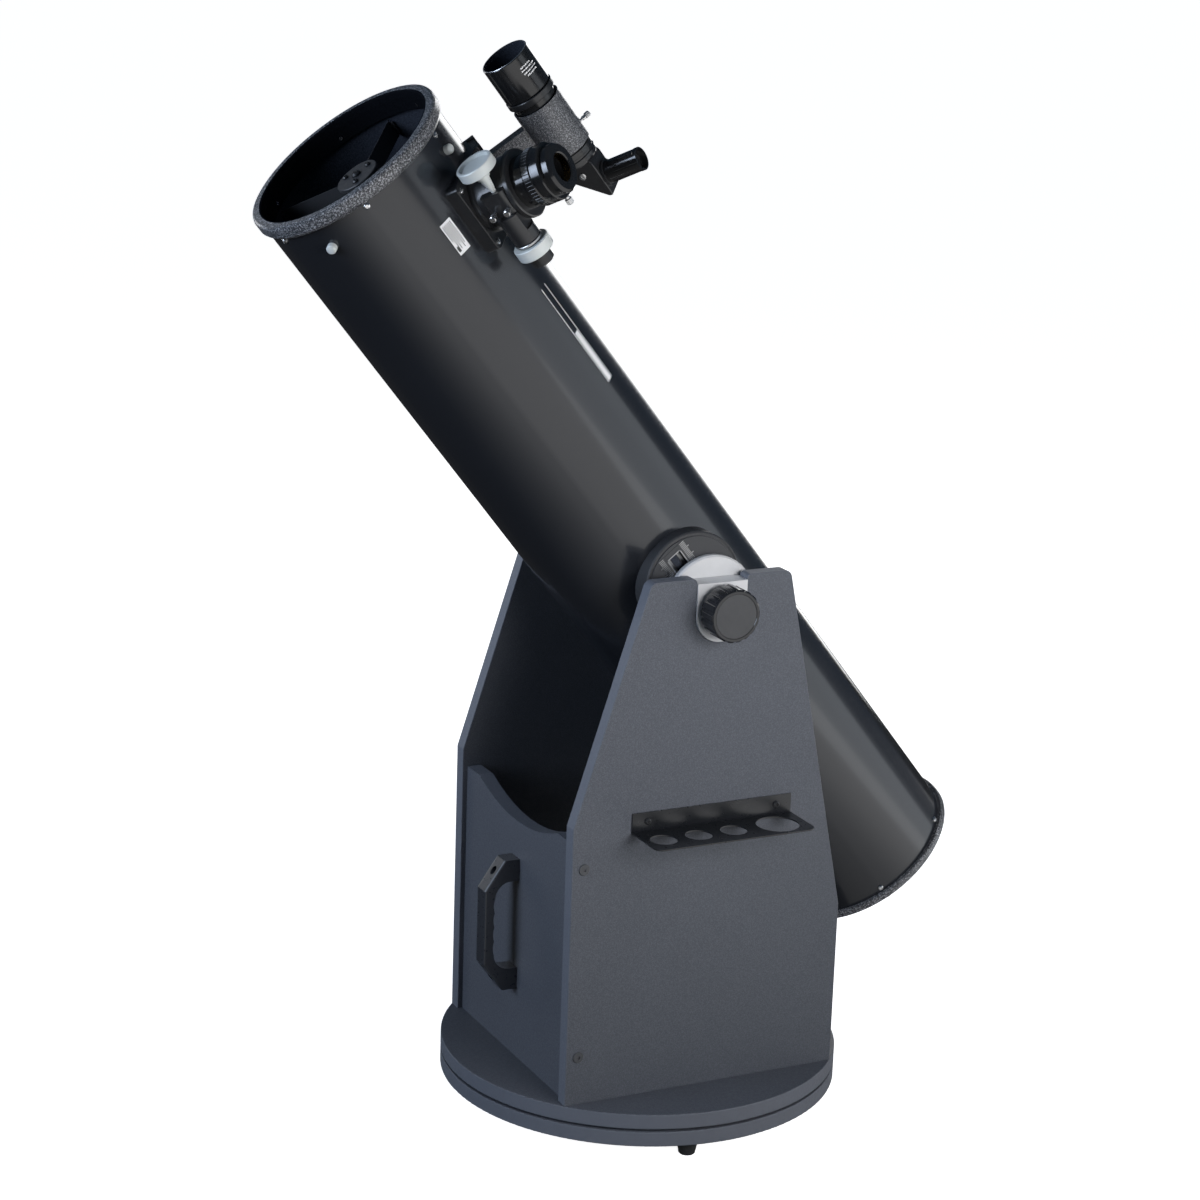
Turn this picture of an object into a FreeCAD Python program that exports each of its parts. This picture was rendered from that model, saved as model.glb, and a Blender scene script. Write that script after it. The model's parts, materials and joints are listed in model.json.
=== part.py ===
import FreeCAD, Part
import math
import os
from FreeCAD import Placement, Rotation, Vector

# Dobsonian telescope: a 203 mm (8 inch) f/6 reflector in a closed tube, on a board rocker box that
# turns on a round ground board.
# Frame: millimetres, +Z up, origin on the floor under the middle of the round boards.
# The handle side, where the open end of the tube leans, faces -Y. The altitude axis is along X,
# and the side panel with the eyepiece rack is on +X.

# ---- Driving dimensions: the base -----------------------------------------------------------------
BOARD_R = 245.0            # round ground board and azimuth board
BOARD_T = 19.0             # thickness of both round boards
BOARD_GAP = 3.0            # gap between them, filled by the roller bearing
FOOT_H = 20.0
FOOT_RING_R = 222.0        # the three feet stand on this circle
FOOT_ANGLES = (-11.0, 109.0, 229.0)
PANEL_T = 18.0             # side and front panels
SIDE_OUT_X = 166.0         # outer face of each side panel
SIDE_H = 629.0
SIDE_HALF_W = 180.0        # half width of a side panel at its foot
SIDE_TOP_HALF_W = 90.5     # half width at its top
SIDE_FRONT_H = 344.0       # height of the upright front edge
SIDE_REAR_H = 204.0        # height of the upright rear edge
NOTCH_R = 32.5             # U notch for the altitude bearing
FRONT_H = 321.0
FRONT_RECESS = 6.5         # front panel set back from the side panels' front edges
SCALLOP_HALF_W = 111.0     # hollow in the top of the front panel
SCALLOP_DEPTH = 21.7

# ---- Driving dimensions: the tube -----------------------------------------------------------------
ALTITUDE = 51.36           # how far the tube points above the horizon at rest, degrees
PIVOT_Z = 652.0            # height of the altitude axis
TUBE_R = 115.0
TUBE_WALL = 1.0
FRONT_Z = 652.3            # front plane of the front ring, from the altitude axis
TUBE_END_Z = -489.4        # rear end of the tube
REAR_Z = -498.5            # rear plane of the mirror cell
SPIDER_ANGLE = 48.0        # focuser, spider and screws are set out from this angle
RING_SCREW_S = 22.0        # distances called _S run back from the front plane
SPIDER_S = 43.4
FOCUSER_S = 114.4
REAR_SCREW_S = 1136.0
SEAM_ANGLE = 224.0         # the rolled tube's seam runs along its underside
FINDER_ANGLE = 14.0
FINDER_R = 207.0           # finder axis, from the tube axis

MIRROR_R = 101.5           # primary mirror, 203 mm
MIRROR_T = 25.0
FOCAL_LENGTH = 1200.0
EYEPIECE_R = 15.95         # bore for 1.25 inch (31.75 mm) eyepieces
TWO_INCH_R = 25.45         # bore for 2 inch (50.8 mm) eyepieces
RUN = 0.06                 # radial running clearance of pins and shafts
ROUND = 1.2                # eased edges of the boards

# ---- Worked out from those ------------------------------------------------------------------------
GROUND_Z = FOOT_H
GROUND_TOP = GROUND_Z + BOARD_T
AZ_Z = GROUND_TOP + BOARD_GAP
DECK_Z = AZ_Z + BOARD_T
SIDE_IN_X = SIDE_OUT_X - PANEL_T
SIDE_TOP_Z = DECK_Z + SIDE_H
NOTCH_Z = PIVOT_Z - 7.0
FRONT_Y = -SIDE_HALF_W + FRONT_RECESS
TUBE_IN_R = TUBE_R - TUBE_WALL

X = Vector(1, 0, 0)
Y = Vector(0, 1, 0)
Z = Vector(0, 0, 1)
ORIGIN = Vector(0, 0, 0)

# The tube is drawn upright about the altitude axis: its x is the row's x, its z runs to the open end.
TUBE = Placement(Vector(0, 0, PIVOT_Z), Rotation(X, 90.0 - ALTITUDE))


# ---- Helpers --------------------------------------------------------------------------------------
def box(x0, x1, y0, y1, z0, z1):
    """A block between two corners."""
    return Part.makeBox(x1 - x0, y1 - y0, z1 - z0, Vector(x0, y0, z0))


def rod(radius, start, end):
    """A round bar from one point to another."""
    return Part.makeCylinder(radius, (end - start).Length, start, end - start)


def pipe(outer, inner, start, end):
    """A tube from one point to another."""
    return rod(outer, start, end).cut(rod(inner, start, end))


def turned(profile, base=ORIGIN, axis=Z):
    """A turned solid: profile lists (radius, height) points, closed round the axis."""
    points = [Vector(r, 0, h) for r, h in profile]
    wire = Part.makePolygon(points + [points[0]])
    solid = Part.Face(wire).revolve(ORIGIN, Z, 360)
    solid.Placement = Placement(base, Rotation(Z, axis))
    return solid


def prism(points, depth):
    """A flat outline of 3D points pushed along a vector."""
    return Part.Face(Part.makePolygon(points + [points[0]])).extrude(depth)


def group(solids):
    """Several separate solids kept together as one node."""
    return Part.makeCompound(solids)


def eased(solid, wanted, radius=ROUND):
    """Round the edges that the test picks."""
    edges = [e for e in solid.Edges if wanted(e)]
    return solid.makeFillet(radius, edges) if edges else solid


def polar(radius, angle, z=0.0):
    """A point round the Z axis, with the angle from +X."""
    a = math.radians(angle)
    return Vector(radius * math.cos(a), radius * math.sin(a), z)


def outward(angle):
    """Unit vector out from the tube axis, angle measured from the tube's top line towards +X."""
    a = math.radians(angle)
    return Vector(math.sin(a), math.cos(a), 0)


def on_tube(angle, radius, s):
    """A point beside the upright tube, s back from its front plane."""
    return outward(angle) * radius + Z * (FRONT_Z - s)


def ring_of(make, count, first):
    """The same thing made at equal angles round the tube."""
    return [make(first + 360.0 / count * k) for k in range(count)]


def radial_frame(angle, s):
    """Placement whose z runs out from the tube axis and whose x runs to the tube's front."""
    out = outward(angle)
    return Placement(on_tube(angle, 0, s), Rotation(Z, out.cross(Z), out, "ZXY"))


def placed(shape, placement):
    """A copy of a shape drawn in a local frame, moved to its place."""
    moved = shape.copy()
    moved.Placement = placement.multiply(shape.Placement)
    return moved


def mirror_x(shape):
    """The same piece on the other side of the object."""
    return shape.mirror(ORIGIN, X)


def hex_hole(across, depth, point, axis):
    """Hexagon socket of a screw head, cut down from a point along an axis."""
    corners = [polar(across / math.sqrt(3), 60 * k) for k in range(6)]
    socket = prism(corners, Z * depth)
    socket.Placement = Placement(point, Rotation(Z, axis))
    return socket


def pan_screw(point, axis, head_r, head_h, shank_r, length):
    """Screw with a slightly domed head; point lies under the head, axis points out of the head."""
    head = turned([(0, 0), (head_r, 0), (head_r, head_h * 0.55), (head_r * 0.6, head_h), (0, head_h)],
                  point, axis)
    cross = [box(-head_r * 0.55, head_r * 0.55, -0.5, 0.5, head_h * 0.5, head_h + 1),
             box(-0.5, 0.5, -head_r * 0.55, head_r * 0.55, head_h * 0.5, head_h + 1)]
    for slot in cross:
        slot.Placement = Placement(point, Rotation(Z, axis))
        head = head.cut(slot)
    return head.fuse(rod(shank_r, point - axis * length, point))


def thumbscrew(point, axis, head_r, head_l, neck_l, shank_r, length):
    """Knurled thumbscrew; point is where it leaves its hole, axis points to the head."""
    ridges = 20
    head = turned([(0, neck_l), (head_r - 0.8, neck_l), (head_r, neck_l + 0.8),
                   (head_r, neck_l + head_l - 0.8), (head_r - 0.8, neck_l + head_l), (0, neck_l + head_l)])
    for k in range(ridges):
        at = polar(head_r + 0.25, 360.0 / ridges * k, neck_l)
        head = head.cut(rod(0.55, at, at + Z * head_l))
    neck = turned([(0, -length), (shank_r, -length), (shank_r, neck_l * 0.5), (shank_r + 0.9, neck_l * 0.5),
                   (shank_r + 0.9, neck_l), (0, neck_l)])
    screw = head.fuse(neck)
    screw.Placement = Placement(point, Rotation(Z, axis))
    return screw


nodes = {}


# ---- Ground board, feet and azimuth bearing -------------------------------------------------------
BOLT_R = 5.0
RACE_IN_R, RACE_OUT_R, RACE_T = 75.0, 95.0, 0.6
ROLLER_R, ROLLER_L, ROLLER_COUNT = 0.85, 12.0, 24
ROLLER_Z = AZ_Z - BOARD_GAP / 2


def round_board(bottom, hole_r):
    """Round laminated board with eased rims and a bolt hole in the middle."""
    board = rod(BOARD_R, Z * bottom, Z * (bottom + BOARD_T))
    board = board.makeFillet(ROUND, [e for e in board.Edges if e.Closed and len(e.Vertexes) == 1
                                     and abs(e.BoundBox.XLength - 2 * BOARD_R) < 1])
    return board.cut(rod(hole_r, Z * bottom, Z * (bottom + BOARD_T)))


def foot(angle):
    """Tapered foot, hollow underneath for its screw."""
    profile = [(2.1, 8), (5.5, 8), (5.5, 0), (8.6, 0), (10, 1.4), (13.5, FOOT_H), (2.1, FOOT_H)]
    return turned(profile, polar(FOOT_RING_R, angle))


def foot_screw(angle):
    """Screw up through a foot into the ground board."""
    return pan_screw(polar(FOOT_RING_R, angle, 8), Vector(0, 0, -1), 4.2, 3.0, 2.1, FOOT_H + 4)


foot_screws = [foot_screw(a) for a in FOOT_ANGLES]
BOLT_HEAD_H = 6.0
ground = round_board(GROUND_Z, BOLT_R)
ground = ground.cut(rod(10.0, Z * GROUND_Z, Z * (GROUND_Z + BOLT_HEAD_H + 1)))
for screw in foot_screws:
    ground = ground.cut(screw)
nodes["ground_board"] = ground
nodes["feet"] = group([foot(a) for a in FOOT_ANGLES] + foot_screws)
nodes["lower_race"] = pipe(RACE_OUT_R, RACE_IN_R, Z * GROUND_TOP, Z * (GROUND_TOP + RACE_T))
nodes["upper_race"] = pipe(RACE_OUT_R, RACE_IN_R, Z * (AZ_Z - RACE_T), Z * AZ_Z)

bolt_head_z = GROUND_Z + 1
bolt = rod(BOLT_R, Z * bolt_head_z, Z * (DECK_Z + 16))
bolt = bolt.fuse(prism([polar(9.0, 60 * k, bolt_head_z) for k in range(6)], Z * BOLT_HEAD_H))
washer = pipe(15.0, BOLT_R, Z * (DECK_Z + 0.3), Z * (DECK_Z + 2.3))
nut = prism([polar(9.8, 60 * k, DECK_Z + 2.3) for k in range(6)], Z * 8)
nut = nut.cut(rod(BOLT_R, Z * DECK_Z, Z * (DECK_Z + 20)))
nodes["azimuth_bolt"] = group([bolt, washer, nut])

cage = pipe(93.5, 76.5, Z * (ROLLER_Z - 0.5), Z * (ROLLER_Z + 0.5))
rollers = []
for k in range(ROLLER_COUNT):
    turn = 360.0 / ROLLER_COUNT * k
    middle = (RACE_IN_R + RACE_OUT_R) / 2
    pocket = box(middle - ROLLER_L / 2 - 0.3, middle + ROLLER_L / 2 + 0.3, -1.15, 1.15,
                 ROLLER_Z - 1, ROLLER_Z + 1)
    pocket.rotate(ORIGIN, Z, turn)
    cage = cage.cut(pocket)
    rollers.append(rod(ROLLER_R, polar(middle - ROLLER_L / 2, turn, ROLLER_Z),
                       polar(middle + ROLLER_L / 2, turn, ROLLER_Z)))
nodes["azimuth_rollers"] = group([cage] + rollers)


# ---- Rocker box -----------------------------------------------------------------------------------
def side_panel():
    """Right-hand side panel: upright edges, sloping shoulders and the U notch on top."""
    corner = 10.0
    lip = 5.0

    def at(y, z):
        return Vector(SIDE_IN_X, y, z)
    outline = [at(-SIDE_HALF_W, DECK_Z), at(-SIDE_HALF_W, DECK_Z + SIDE_FRONT_H),
               at(-SIDE_TOP_HALF_W, SIDE_TOP_Z), at(SIDE_TOP_HALF_W, SIDE_TOP_Z),
               at(SIDE_HALF_W, DECK_Z + SIDE_REAR_H), at(SIDE_HALF_W, DECK_Z)]
    panel = prism(outline, X * PANEL_T)
    panel = eased(panel, lambda e: crosses(e, SIDE_TOP_Z, SIDE_TOP_HALF_W), corner)
    notch = box(SIDE_IN_X, SIDE_OUT_X, -NOTCH_R, NOTCH_R, NOTCH_Z, SIDE_TOP_Z + 1)
    notch = notch.fuse(rod(NOTCH_R, Vector(SIDE_IN_X, 0, NOTCH_Z), Vector(SIDE_OUT_X, 0, NOTCH_Z)))
    panel = panel.cut(notch)
    panel = eased(panel, lambda e: crosses(e, SIDE_TOP_Z, NOTCH_R), lip)
    return panel.makeChamfer(0.6, face_rim(panel, SIDE_OUT_X) + face_rim(panel, SIDE_IN_X))


def crosses(edge, z, half_y):
    """True for a board's corner edge along X at a height and distance from the middle."""
    b = edge.BoundBox
    return (b.XLength > 1 and b.YLength < 0.1 and b.ZLength < 0.1
            and abs(b.ZMin - z) < 0.1 and abs(abs(b.YMin) - half_y) < 0.1)


def face_rim(panel, x):
    """Edges lying in the panel's face at x, apart from the one standing on the deck."""
    return [e for e in panel.Edges if abs(e.BoundBox.XMin - x) < 0.01 and abs(e.BoundBox.XMax - x) < 0.01
            and e.BoundBox.ZMax > DECK_Z + 0.1]


def front_panel():
    """Front panel between the side panels, with a hollowed top edge."""
    top = DECK_Z + FRONT_H

    def at(x, z):
        return Vector(x, FRONT_Y, z)
    arc = Part.Arc(at(SCALLOP_HALF_W, top), at(0, top - SCALLOP_DEPTH), at(-SCALLOP_HALF_W, top)).toShape()
    path = [at(-SCALLOP_HALF_W, top), at(-SIDE_IN_X, top), at(-SIDE_IN_X, DECK_Z), at(SIDE_IN_X, DECK_Z),
            at(SIDE_IN_X, top), at(SCALLOP_HALF_W, top)]
    return Part.Face(Part.Wire(Part.makePolygon(path).Edges + [arc])).extrude(Y * PANEL_T)


def panel_bolt(side, z):
    """Connecting bolt with a broad flat cap, from a side panel into the front panel's edge."""
    point = Vector(side * SIDE_OUT_X, FRONT_Y + PANEL_T / 2, z)
    out = X * side
    cap = turned([(0, 0), (7, 0), (7, 0.6), (6.3, 1.4), (0, 1.4)], point, out)
    bolt = cap.fuse(rod(PANEL_BOLT_R, point - out * 50, point))
    return bolt.cut(hex_hole(4.0, 2.0, point + out * 0.2, out))


def panel_bolt_hole(side, z):
    """Hole for a connecting bolt."""
    point = Vector(side * SIDE_OUT_X, FRONT_Y + PANEL_T / 2, z)
    return rod(PANEL_BOLT_R, point - X * side * 50, point)


def board_screw(side, y):
    """Countersunk screw up through the azimuth board into a side panel."""
    point = Vector(side * (SIDE_OUT_X - PANEL_T / 2), y, AZ_Z)
    profile = [(0, 0.4), (5, 0.4), (2.4, 3.2), (2.4, 60), (0, 62)]
    return turned(profile, point, Z)


PANEL_BOLT_R = 2.6
PANEL_BOLT_Z = (120.7, 354.7)
bolt_places = [(side, z) for side in (1, -1) for z in PANEL_BOLT_Z]
panel_bolts = [panel_bolt(side, z) for side, z in bolt_places]
board_screws = [board_screw(side, y) for side in (1, -1) for y in (-120, 0, 120)]
azimuth = round_board(AZ_Z, BOLT_R + RUN)
right = side_panel()
left = mirror_x(right)
front = front_panel()
for hole in [panel_bolt_hole(side, z) for side, z in bolt_places]:
    right = right.cut(hole)
    left = left.cut(hole)
    front = front.cut(hole)
for screw in board_screws:
    azimuth = azimuth.cut(screw)
    azimuth = azimuth.cut(rod(5, Vector(screw.BoundBox.Center.x, screw.BoundBox.Center.y, AZ_Z),
                              Vector(screw.BoundBox.Center.x, screw.BoundBox.Center.y, AZ_Z + 0.4)))
    right = right.cut(screw)
    left = left.cut(screw)
nodes["azimuth_board"] = azimuth
nodes["side_panel_right"] = right
nodes["side_panel_left"] = left
nodes["panel_bolts"] = group(panel_bolts)
nodes["board_screws"] = group(board_screws)

# Front handle: an angular bow with two legs, finger waves inside, and a screw sunk in each leg.
HANDLE_Z = 232.3
HANDLE_HALF_L = 83.0
HANDLE_W = 23.0
HANDLE_OUT = 45.0
HANDLE_SCREW_OFF = 69.0


def front_handle():
    """Bow handle on the front panel."""
    def at(out, up):
        return Vector(-HANDLE_W / 2, FRONT_Y - out, HANDLE_Z + up)
    grip_in = HANDLE_OUT - 13.5
    waves = 4
    reach = 36.0
    outer = [at(0, -HANDLE_HALF_L), at(20, -HANDLE_HALF_L), at(HANDLE_OUT, -47), at(HANDLE_OUT, 47),
             at(20, HANDLE_HALF_L), at(0, HANDLE_HALF_L), at(0, 56), at(10, 56)]
    edges = Part.makePolygon(outer).Edges
    edges.append(Part.Arc(at(10, 56), at(25.5, 50), at(grip_in, reach)).toShape())
    step = 2 * reach / waves
    for k in range(waves):
        top = reach - k * step
        edges.append(Part.Arc(at(grip_in, top), at(grip_in + 1.6, top - step / 2),
                              at(grip_in, top - step)).toShape())
    edges.append(Part.Arc(at(grip_in, -reach), at(25.5, -50), at(10, -56)).toShape())
    edges += Part.makePolygon([at(10, -56), at(0, -56), at(0, -HANDLE_HALF_L)]).Edges
    bow = Part.Face(Part.Wire(edges)).extrude(X * HANDLE_W)
    long_edges = [e for e in bow.Edges if e.BoundBox.XLength < 0.1 and e.BoundBox.YMin < FRONT_Y - 12
                  and e.BoundBox.YMax < FRONT_Y - 12 and e.BoundBox.YMin < FRONT_Y - 34]
    return bow.makeFillet(2.5, long_edges)


def black_pan_screw(point, axis, length):
    """Black pan-head wood screw, used by the handle and the rack."""
    return pan_screw(point, axis, 4.0, 2.6, 1.9, length)


handle = front_handle()
pan_screws = []
for side in (1, -1):
    z = HANDLE_Z + side * HANDLE_SCREW_OFF
    seat = Vector(0, FRONT_Y - 8, z)
    handle = handle.cut(rod(4.8, seat - Y * 60, seat)).cut(rod(1.9, seat, seat + Y * 10))
    pan_screws.append(black_pan_screw(seat, Y * -1, 22))
nodes["front_handle"] = handle

# Eyepiece rack: a bent steel strip with three 1.25 inch holes and one 2 inch hole.
RACK_HALF_L = 105.0
RACK_Z = 391.0
RACK_T = 1.6
RACK_H = 24.6
RACK_OUT = 66.0
RACK_HOLE_X = SIDE_OUT_X + 35.0
RACK_SMALL_R = 16.25
RACK_LARGE_R = 25.8
RACK_SMALL_Y = (-81.0, -35.5, 10.5)
RACK_LARGE_Y = 69.0
RACK_SCREW_Y = 85.0


def eyepiece_rack():
    """Bent strip: a plate on the panel and a shelf with holes."""
    plate = box(SIDE_OUT_X, SIDE_OUT_X + RACK_T, -RACK_HALF_L, RACK_HALF_L, RACK_Z, RACK_Z + RACK_H)
    shelf = box(SIDE_OUT_X, SIDE_OUT_X + RACK_OUT, -RACK_HALF_L, RACK_HALF_L, RACK_Z, RACK_Z + RACK_T)
    shelf = eased(shelf, lambda e: e.BoundBox.ZLength > 1 and e.BoundBox.XMin > SIDE_OUT_X + 1, 11.0)
    rack = plate.fuse(shelf).removeSplitter()
    bend = [e for e in rack.Edges if e.BoundBox.YLength > 2 * RACK_HALF_L - 1
            and abs(e.BoundBox.XMin - SIDE_OUT_X) < 0.01 and abs(e.BoundBox.ZMin - RACK_Z) < 0.01]
    rack = rack.makeFillet(1.5, bend)
    holes = [(RACK_SMALL_R, y) for y in RACK_SMALL_Y] + [(RACK_LARGE_R, RACK_LARGE_Y)]
    for radius, y in holes:
        rack = rack.cut(rod(radius, Vector(RACK_HOLE_X, y, RACK_Z - 1), Vector(RACK_HOLE_X, y, RACK_Z + 5)))
    return rack


rack = eyepiece_rack()
right = nodes["side_panel_right"]
for y in (-RACK_SCREW_Y, RACK_SCREW_Y):
    screw = black_pan_screw(Vector(SIDE_OUT_X + RACK_T, y, RACK_Z + 13.3), X, 15)
    rack = rack.cut(screw)
    right = right.cut(screw)
    pan_screws.append(screw)
nodes["eyepiece_rack"] = rack
nodes["side_panel_right"] = right
for screw in pan_screws[:2]:
    front = front.cut(screw)
nodes["front_panel"] = front
nodes["black_pan_screws"] = group(pan_screws)

# ---- Altitude bearings ----------------------------------------------------------------------------
FLANGE_R = 57.0            # silver flange behind the side panel
FLANGE_X0, FLANGE_X1 = 134.0, 142.0
BLOCK_X1 = 168.0           # the bearing block stands a little out of the notch
BLOCK_TOP_Z = 684.0
STUD_R = 8.0
SADDLE_R = 61.0            # round black bearing saddle on the tube
SADDLE_AHEAD = 30.0        # its middle lies ahead of the altitude axis, along the tube
SADDLE_X = 132.0
SLOT_HALF_L, SLOT_HALF_W, SLOT_DEPTH = 44.0, 9.0, 7.0
KNOB_R = 31.5
KNOB_X0, KNOB_X1 = 170.0, 203.0


def bearing_housing():
    """Silver altitude bearing: a round flange and a U block that drops into the notch."""
    pivot = Vector(0, 0, PIVOT_Z)
    flange = turned([(0, 0), (FLANGE_R, 0), (FLANGE_R, 6), (FLANGE_R - 2, 8), (0, 8)],
                    pivot + X * FLANGE_X0, X)
    r = NOTCH_R - 0.3
    block = box(FLANGE_X1 - 1, BLOCK_X1, -r, r, NOTCH_Z, BLOCK_TOP_Z)
    block = block.fuse(rod(r, Vector(FLANGE_X1 - 1, 0, NOTCH_Z), Vector(BLOCK_X1, 0, NOTCH_Z)))
    housing = flange.fuse(block).removeSplitter()
    return housing.cut(rod(STUD_R + RUN, pivot, pivot + X * 200))


def housing_screw(angle):
    """Small socket screw in the housing flange."""
    a = math.radians(angle)
    point = Vector(FLANGE_X1, 46 * math.cos(a), PIVOT_Z + 46 * math.sin(a))
    screw = rod(3.2, point - X * 1.0, point + X * 1.6).fuse(rod(1.8, point - X * 7, point))
    return screw.cut(hex_hole(2.5, 2.0, point, X))


def bearing_saddle():
    """Round saddle that sits on the tube, with the long slot in which the bearing is set for balance."""
    middle = Z * SADDLE_AHEAD
    body = turned([(0, 80), (SADDLE_R, 80), (SADDLE_R, SADDLE_X - 2.2), (SADDLE_R - 1.6, SADDLE_X - 0.6),
                   (SADDLE_R - 2.6, SADDLE_X - 0.6), (SADDLE_R - 3.0, SADDLE_X - 1.4),
                   (SADDLE_R - 5.0, SADDLE_X - 1.4), (SADDLE_R - 5.4, SADDLE_X), (0, SADDLE_X)], middle, X)
    body = body.cut(rod(TUBE_R, Z * -100, Z * 200))
    slot = box(SADDLE_X - SLOT_DEPTH, SADDLE_X + 1, -SLOT_HALF_W, SLOT_HALF_W,
               SADDLE_AHEAD - SLOT_HALF_L, SADDLE_AHEAD + SLOT_HALF_L)
    return body.cut(slot)


def bearing_stud():
    """Sliding block and threaded stud: the altitude axle on one side."""
    x0 = SADDLE_X - SLOT_DEPTH
    block = box(x0, SADDLE_X, -SLOT_HALF_W, SLOT_HALF_W, -13, 13)
    washer = rod(14.0, X * SADDLE_X, X * (FLANGE_X0 - 0.4))
    return block.fuse(rod(STUD_R, X * x0, X * (KNOB_X1 - 8))).fuse(washer)


def tension_knob():
    """Lobed altitude tension knob, threaded on the stud outside the bearing block."""
    pivot = Vector(0, 0, PIVOT_Z)
    lobes = 18
    profile = [(0, 0), (20, 0), (20, 3), (KNOB_R - 2, 3), (KNOB_R, 5), (KNOB_R, 31), (KNOB_R - 2.0, 33),
               (KNOB_R - 4.6, 33), (KNOB_R - 5.0, 32.4), (0, 32.4)]
    knob = turned(profile)
    for k in range(lobes):
        at = polar(KNOB_R + 1.4, 360.0 / lobes * k, 2)
        knob = knob.cut(rod(3.0, at, at + Z * 40))
    knob.Placement = Placement(pivot + X * KNOB_X0, Rotation(Z, X))
    return knob.cut(rod(STUD_R + RUN, pivot + X * 160, pivot + X * (KNOB_X1 - 7.6)))


housing = bearing_housing()
screws = [housing_screw(a) for a in (141, 39, 270)]
for screw in screws:
    housing = housing.cut(screw)
nodes["bearing_housing_right"] = housing
nodes["bearing_housing_left"] = mirror_x(housing)
nodes["housing_screws"] = group(screws + [mirror_x(s) for s in screws])
nodes["tension_knob_right"] = tension_knob()
nodes["tension_knob_left"] = mirror_x(nodes["tension_knob_right"])

# Everything from here on is drawn on the upright tube and tilted at the end.
tube_nodes = {}
saddle = bearing_saddle()
tube_nodes["bearing_saddle_right"] = saddle
tube_nodes["bearing_saddle_left"] = mirror_x(saddle)
stud = bearing_stud()
tube_nodes["bearing_studs"] = group([stud, mirror_x(stud)])


# ---- Tube, front ring, mirror cell ----------------------------------------------------------------
def chrome_screw(point, axis):
    """Chrome pan-head screw, used by the rings and the focuser's base."""
    return pan_screw(point, axis, 3.5, 2.3, 1.9, 5.4)


def tube_screw(s):
    """Maker of a ring screw at distance s, given its angle."""
    return lambda angle: chrome_screw(on_tube(angle, TUBE_R, s), outward(angle))


ring_screws = (ring_of(tube_screw(RING_SCREW_S), 6, SPIDER_ANGLE)
               + ring_of(tube_screw(REAR_SCREW_S), 6, SPIDER_ANGLE))
# Front ring: a rolled bead outside, a lip over the tube's edge and a skirt inside it.
front_ring = turned([(108.8, FRONT_Z - 1), (109.8, FRONT_Z), (118.0, FRONT_Z), (120.2, FRONT_Z - 1.2),
                     (121.0, FRONT_Z - 3.4), (121.0, FRONT_Z - 13), (119.6, FRONT_Z - 15.5),
                     (117.6, FRONT_Z - 17.4), (TUBE_R, FRONT_Z - 18), (TUBE_R, FRONT_Z - 2),
                     (TUBE_IN_R, FRONT_Z - 2), (TUBE_IN_R, FRONT_Z - 28), (110.6, FRONT_Z - 28),
                     (108.8, FRONT_Z - 9)])
# Mirror cell: a rim behind the tube, a skirt inside it and a six-armed web for the mirror's screws.
CELL_WEB_Z0, CELL_WEB_Z1 = -497.0, -489.4
COLLIMATION_R = 85.0
cell = turned([(106, REAR_Z), (119.4, REAR_Z), (120.8, REAR_Z + 1.4), (120.8, -491), (119.6, TUBE_END_Z),
               (TUBE_IN_R, TUBE_END_Z), (TUBE_IN_R, -472), (110.6, -472), (106, -482)])
cell = cell.fuse(pipe(30, 14, Z * CELL_WEB_Z0, Z * CELL_WEB_Z1))
for k in range(6):
    angle = SPIDER_ANGLE + 60 * k
    arm = box(-9, 9, 22, 108, CELL_WEB_Z0, CELL_WEB_Z1)
    arm.rotate(ORIGIN, Z, -angle)
    boss = outward(angle) * COLLIMATION_R
    cell = cell.fuse(arm).fuse(rod(14, boss + Z * CELL_WEB_Z0, boss + Z * CELL_WEB_Z1))
cell = cell.removeSplitter()
shell = pipe(TUBE_R, TUBE_IN_R, Z * TUBE_END_Z, Z * (FRONT_Z - 2))
shell.rotate(ORIGIN, Z, 90 - SEAM_ANGLE)
shell = shell.cut(rod(33.0, on_tube(SPIDER_ANGLE, 80, FOCUSER_S), on_tube(SPIDER_ANGLE, 130, FOCUSER_S)))
for screw in ring_screws:
    front_ring = front_ring.cut(screw)
    cell = cell.cut(screw)
    shell = shell.cut(screw)

# Spider: four thin vanes from a hub, pulled tight by thumb nuts outside the tube.
VANE_Z0 = FRONT_Z - SPIDER_S - 11
VANE_Z1 = FRONT_Z - SPIDER_S + 11
spider = rod(20, Z * VANE_Z0, Z * VANE_Z1)
spider_nuts = []
for k in range(4):
    angle = SPIDER_ANGLE + 90 * k
    vane = box(-0.4, 0.4, 19, TUBE_IN_R - 1.5, VANE_Z0, VANE_Z1)
    foot_pad = box(-4, 4, TUBE_IN_R - 3.2, TUBE_IN_R - 1.2, VANE_Z0 + 3, VANE_Z1 - 3)
    vane = vane.fuse(foot_pad)
    vane.rotate(ORIGIN, Z, -angle)
    stud_from = on_tube(angle, TUBE_IN_R - 2.5, SPIDER_S)
    spider = spider.fuse(vane).fuse(rod(2.0, stud_from, on_tube(angle, TUBE_R + 6, SPIDER_S)))
    nut = turned([(0, 0), (5.6, 0), (5.6, 5.6), (4.4, 7.4), (2.2, 8), (0, 8)],
                 on_tube(angle, TUBE_R, SPIDER_S), outward(angle))
    spider_nuts.append(nut.cut(rod(2.0, stud_from, on_tube(angle, TUBE_R + 6, SPIDER_S))))
    shell = shell.cut(rod(2.0, on_tube(angle, 100, SPIDER_S), on_tube(angle, 130, SPIDER_S)))
SECONDARY_SCREW_PCD = 34.0
HUB_Z = VANE_Z1 + 4
hub_screws = [pan_screw(polar(SECONDARY_SCREW_PCD / 2, a, HUB_Z), Z, 3.4, 3.0, 2.0, 16)
              for a in (90, 210, 330)]
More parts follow.
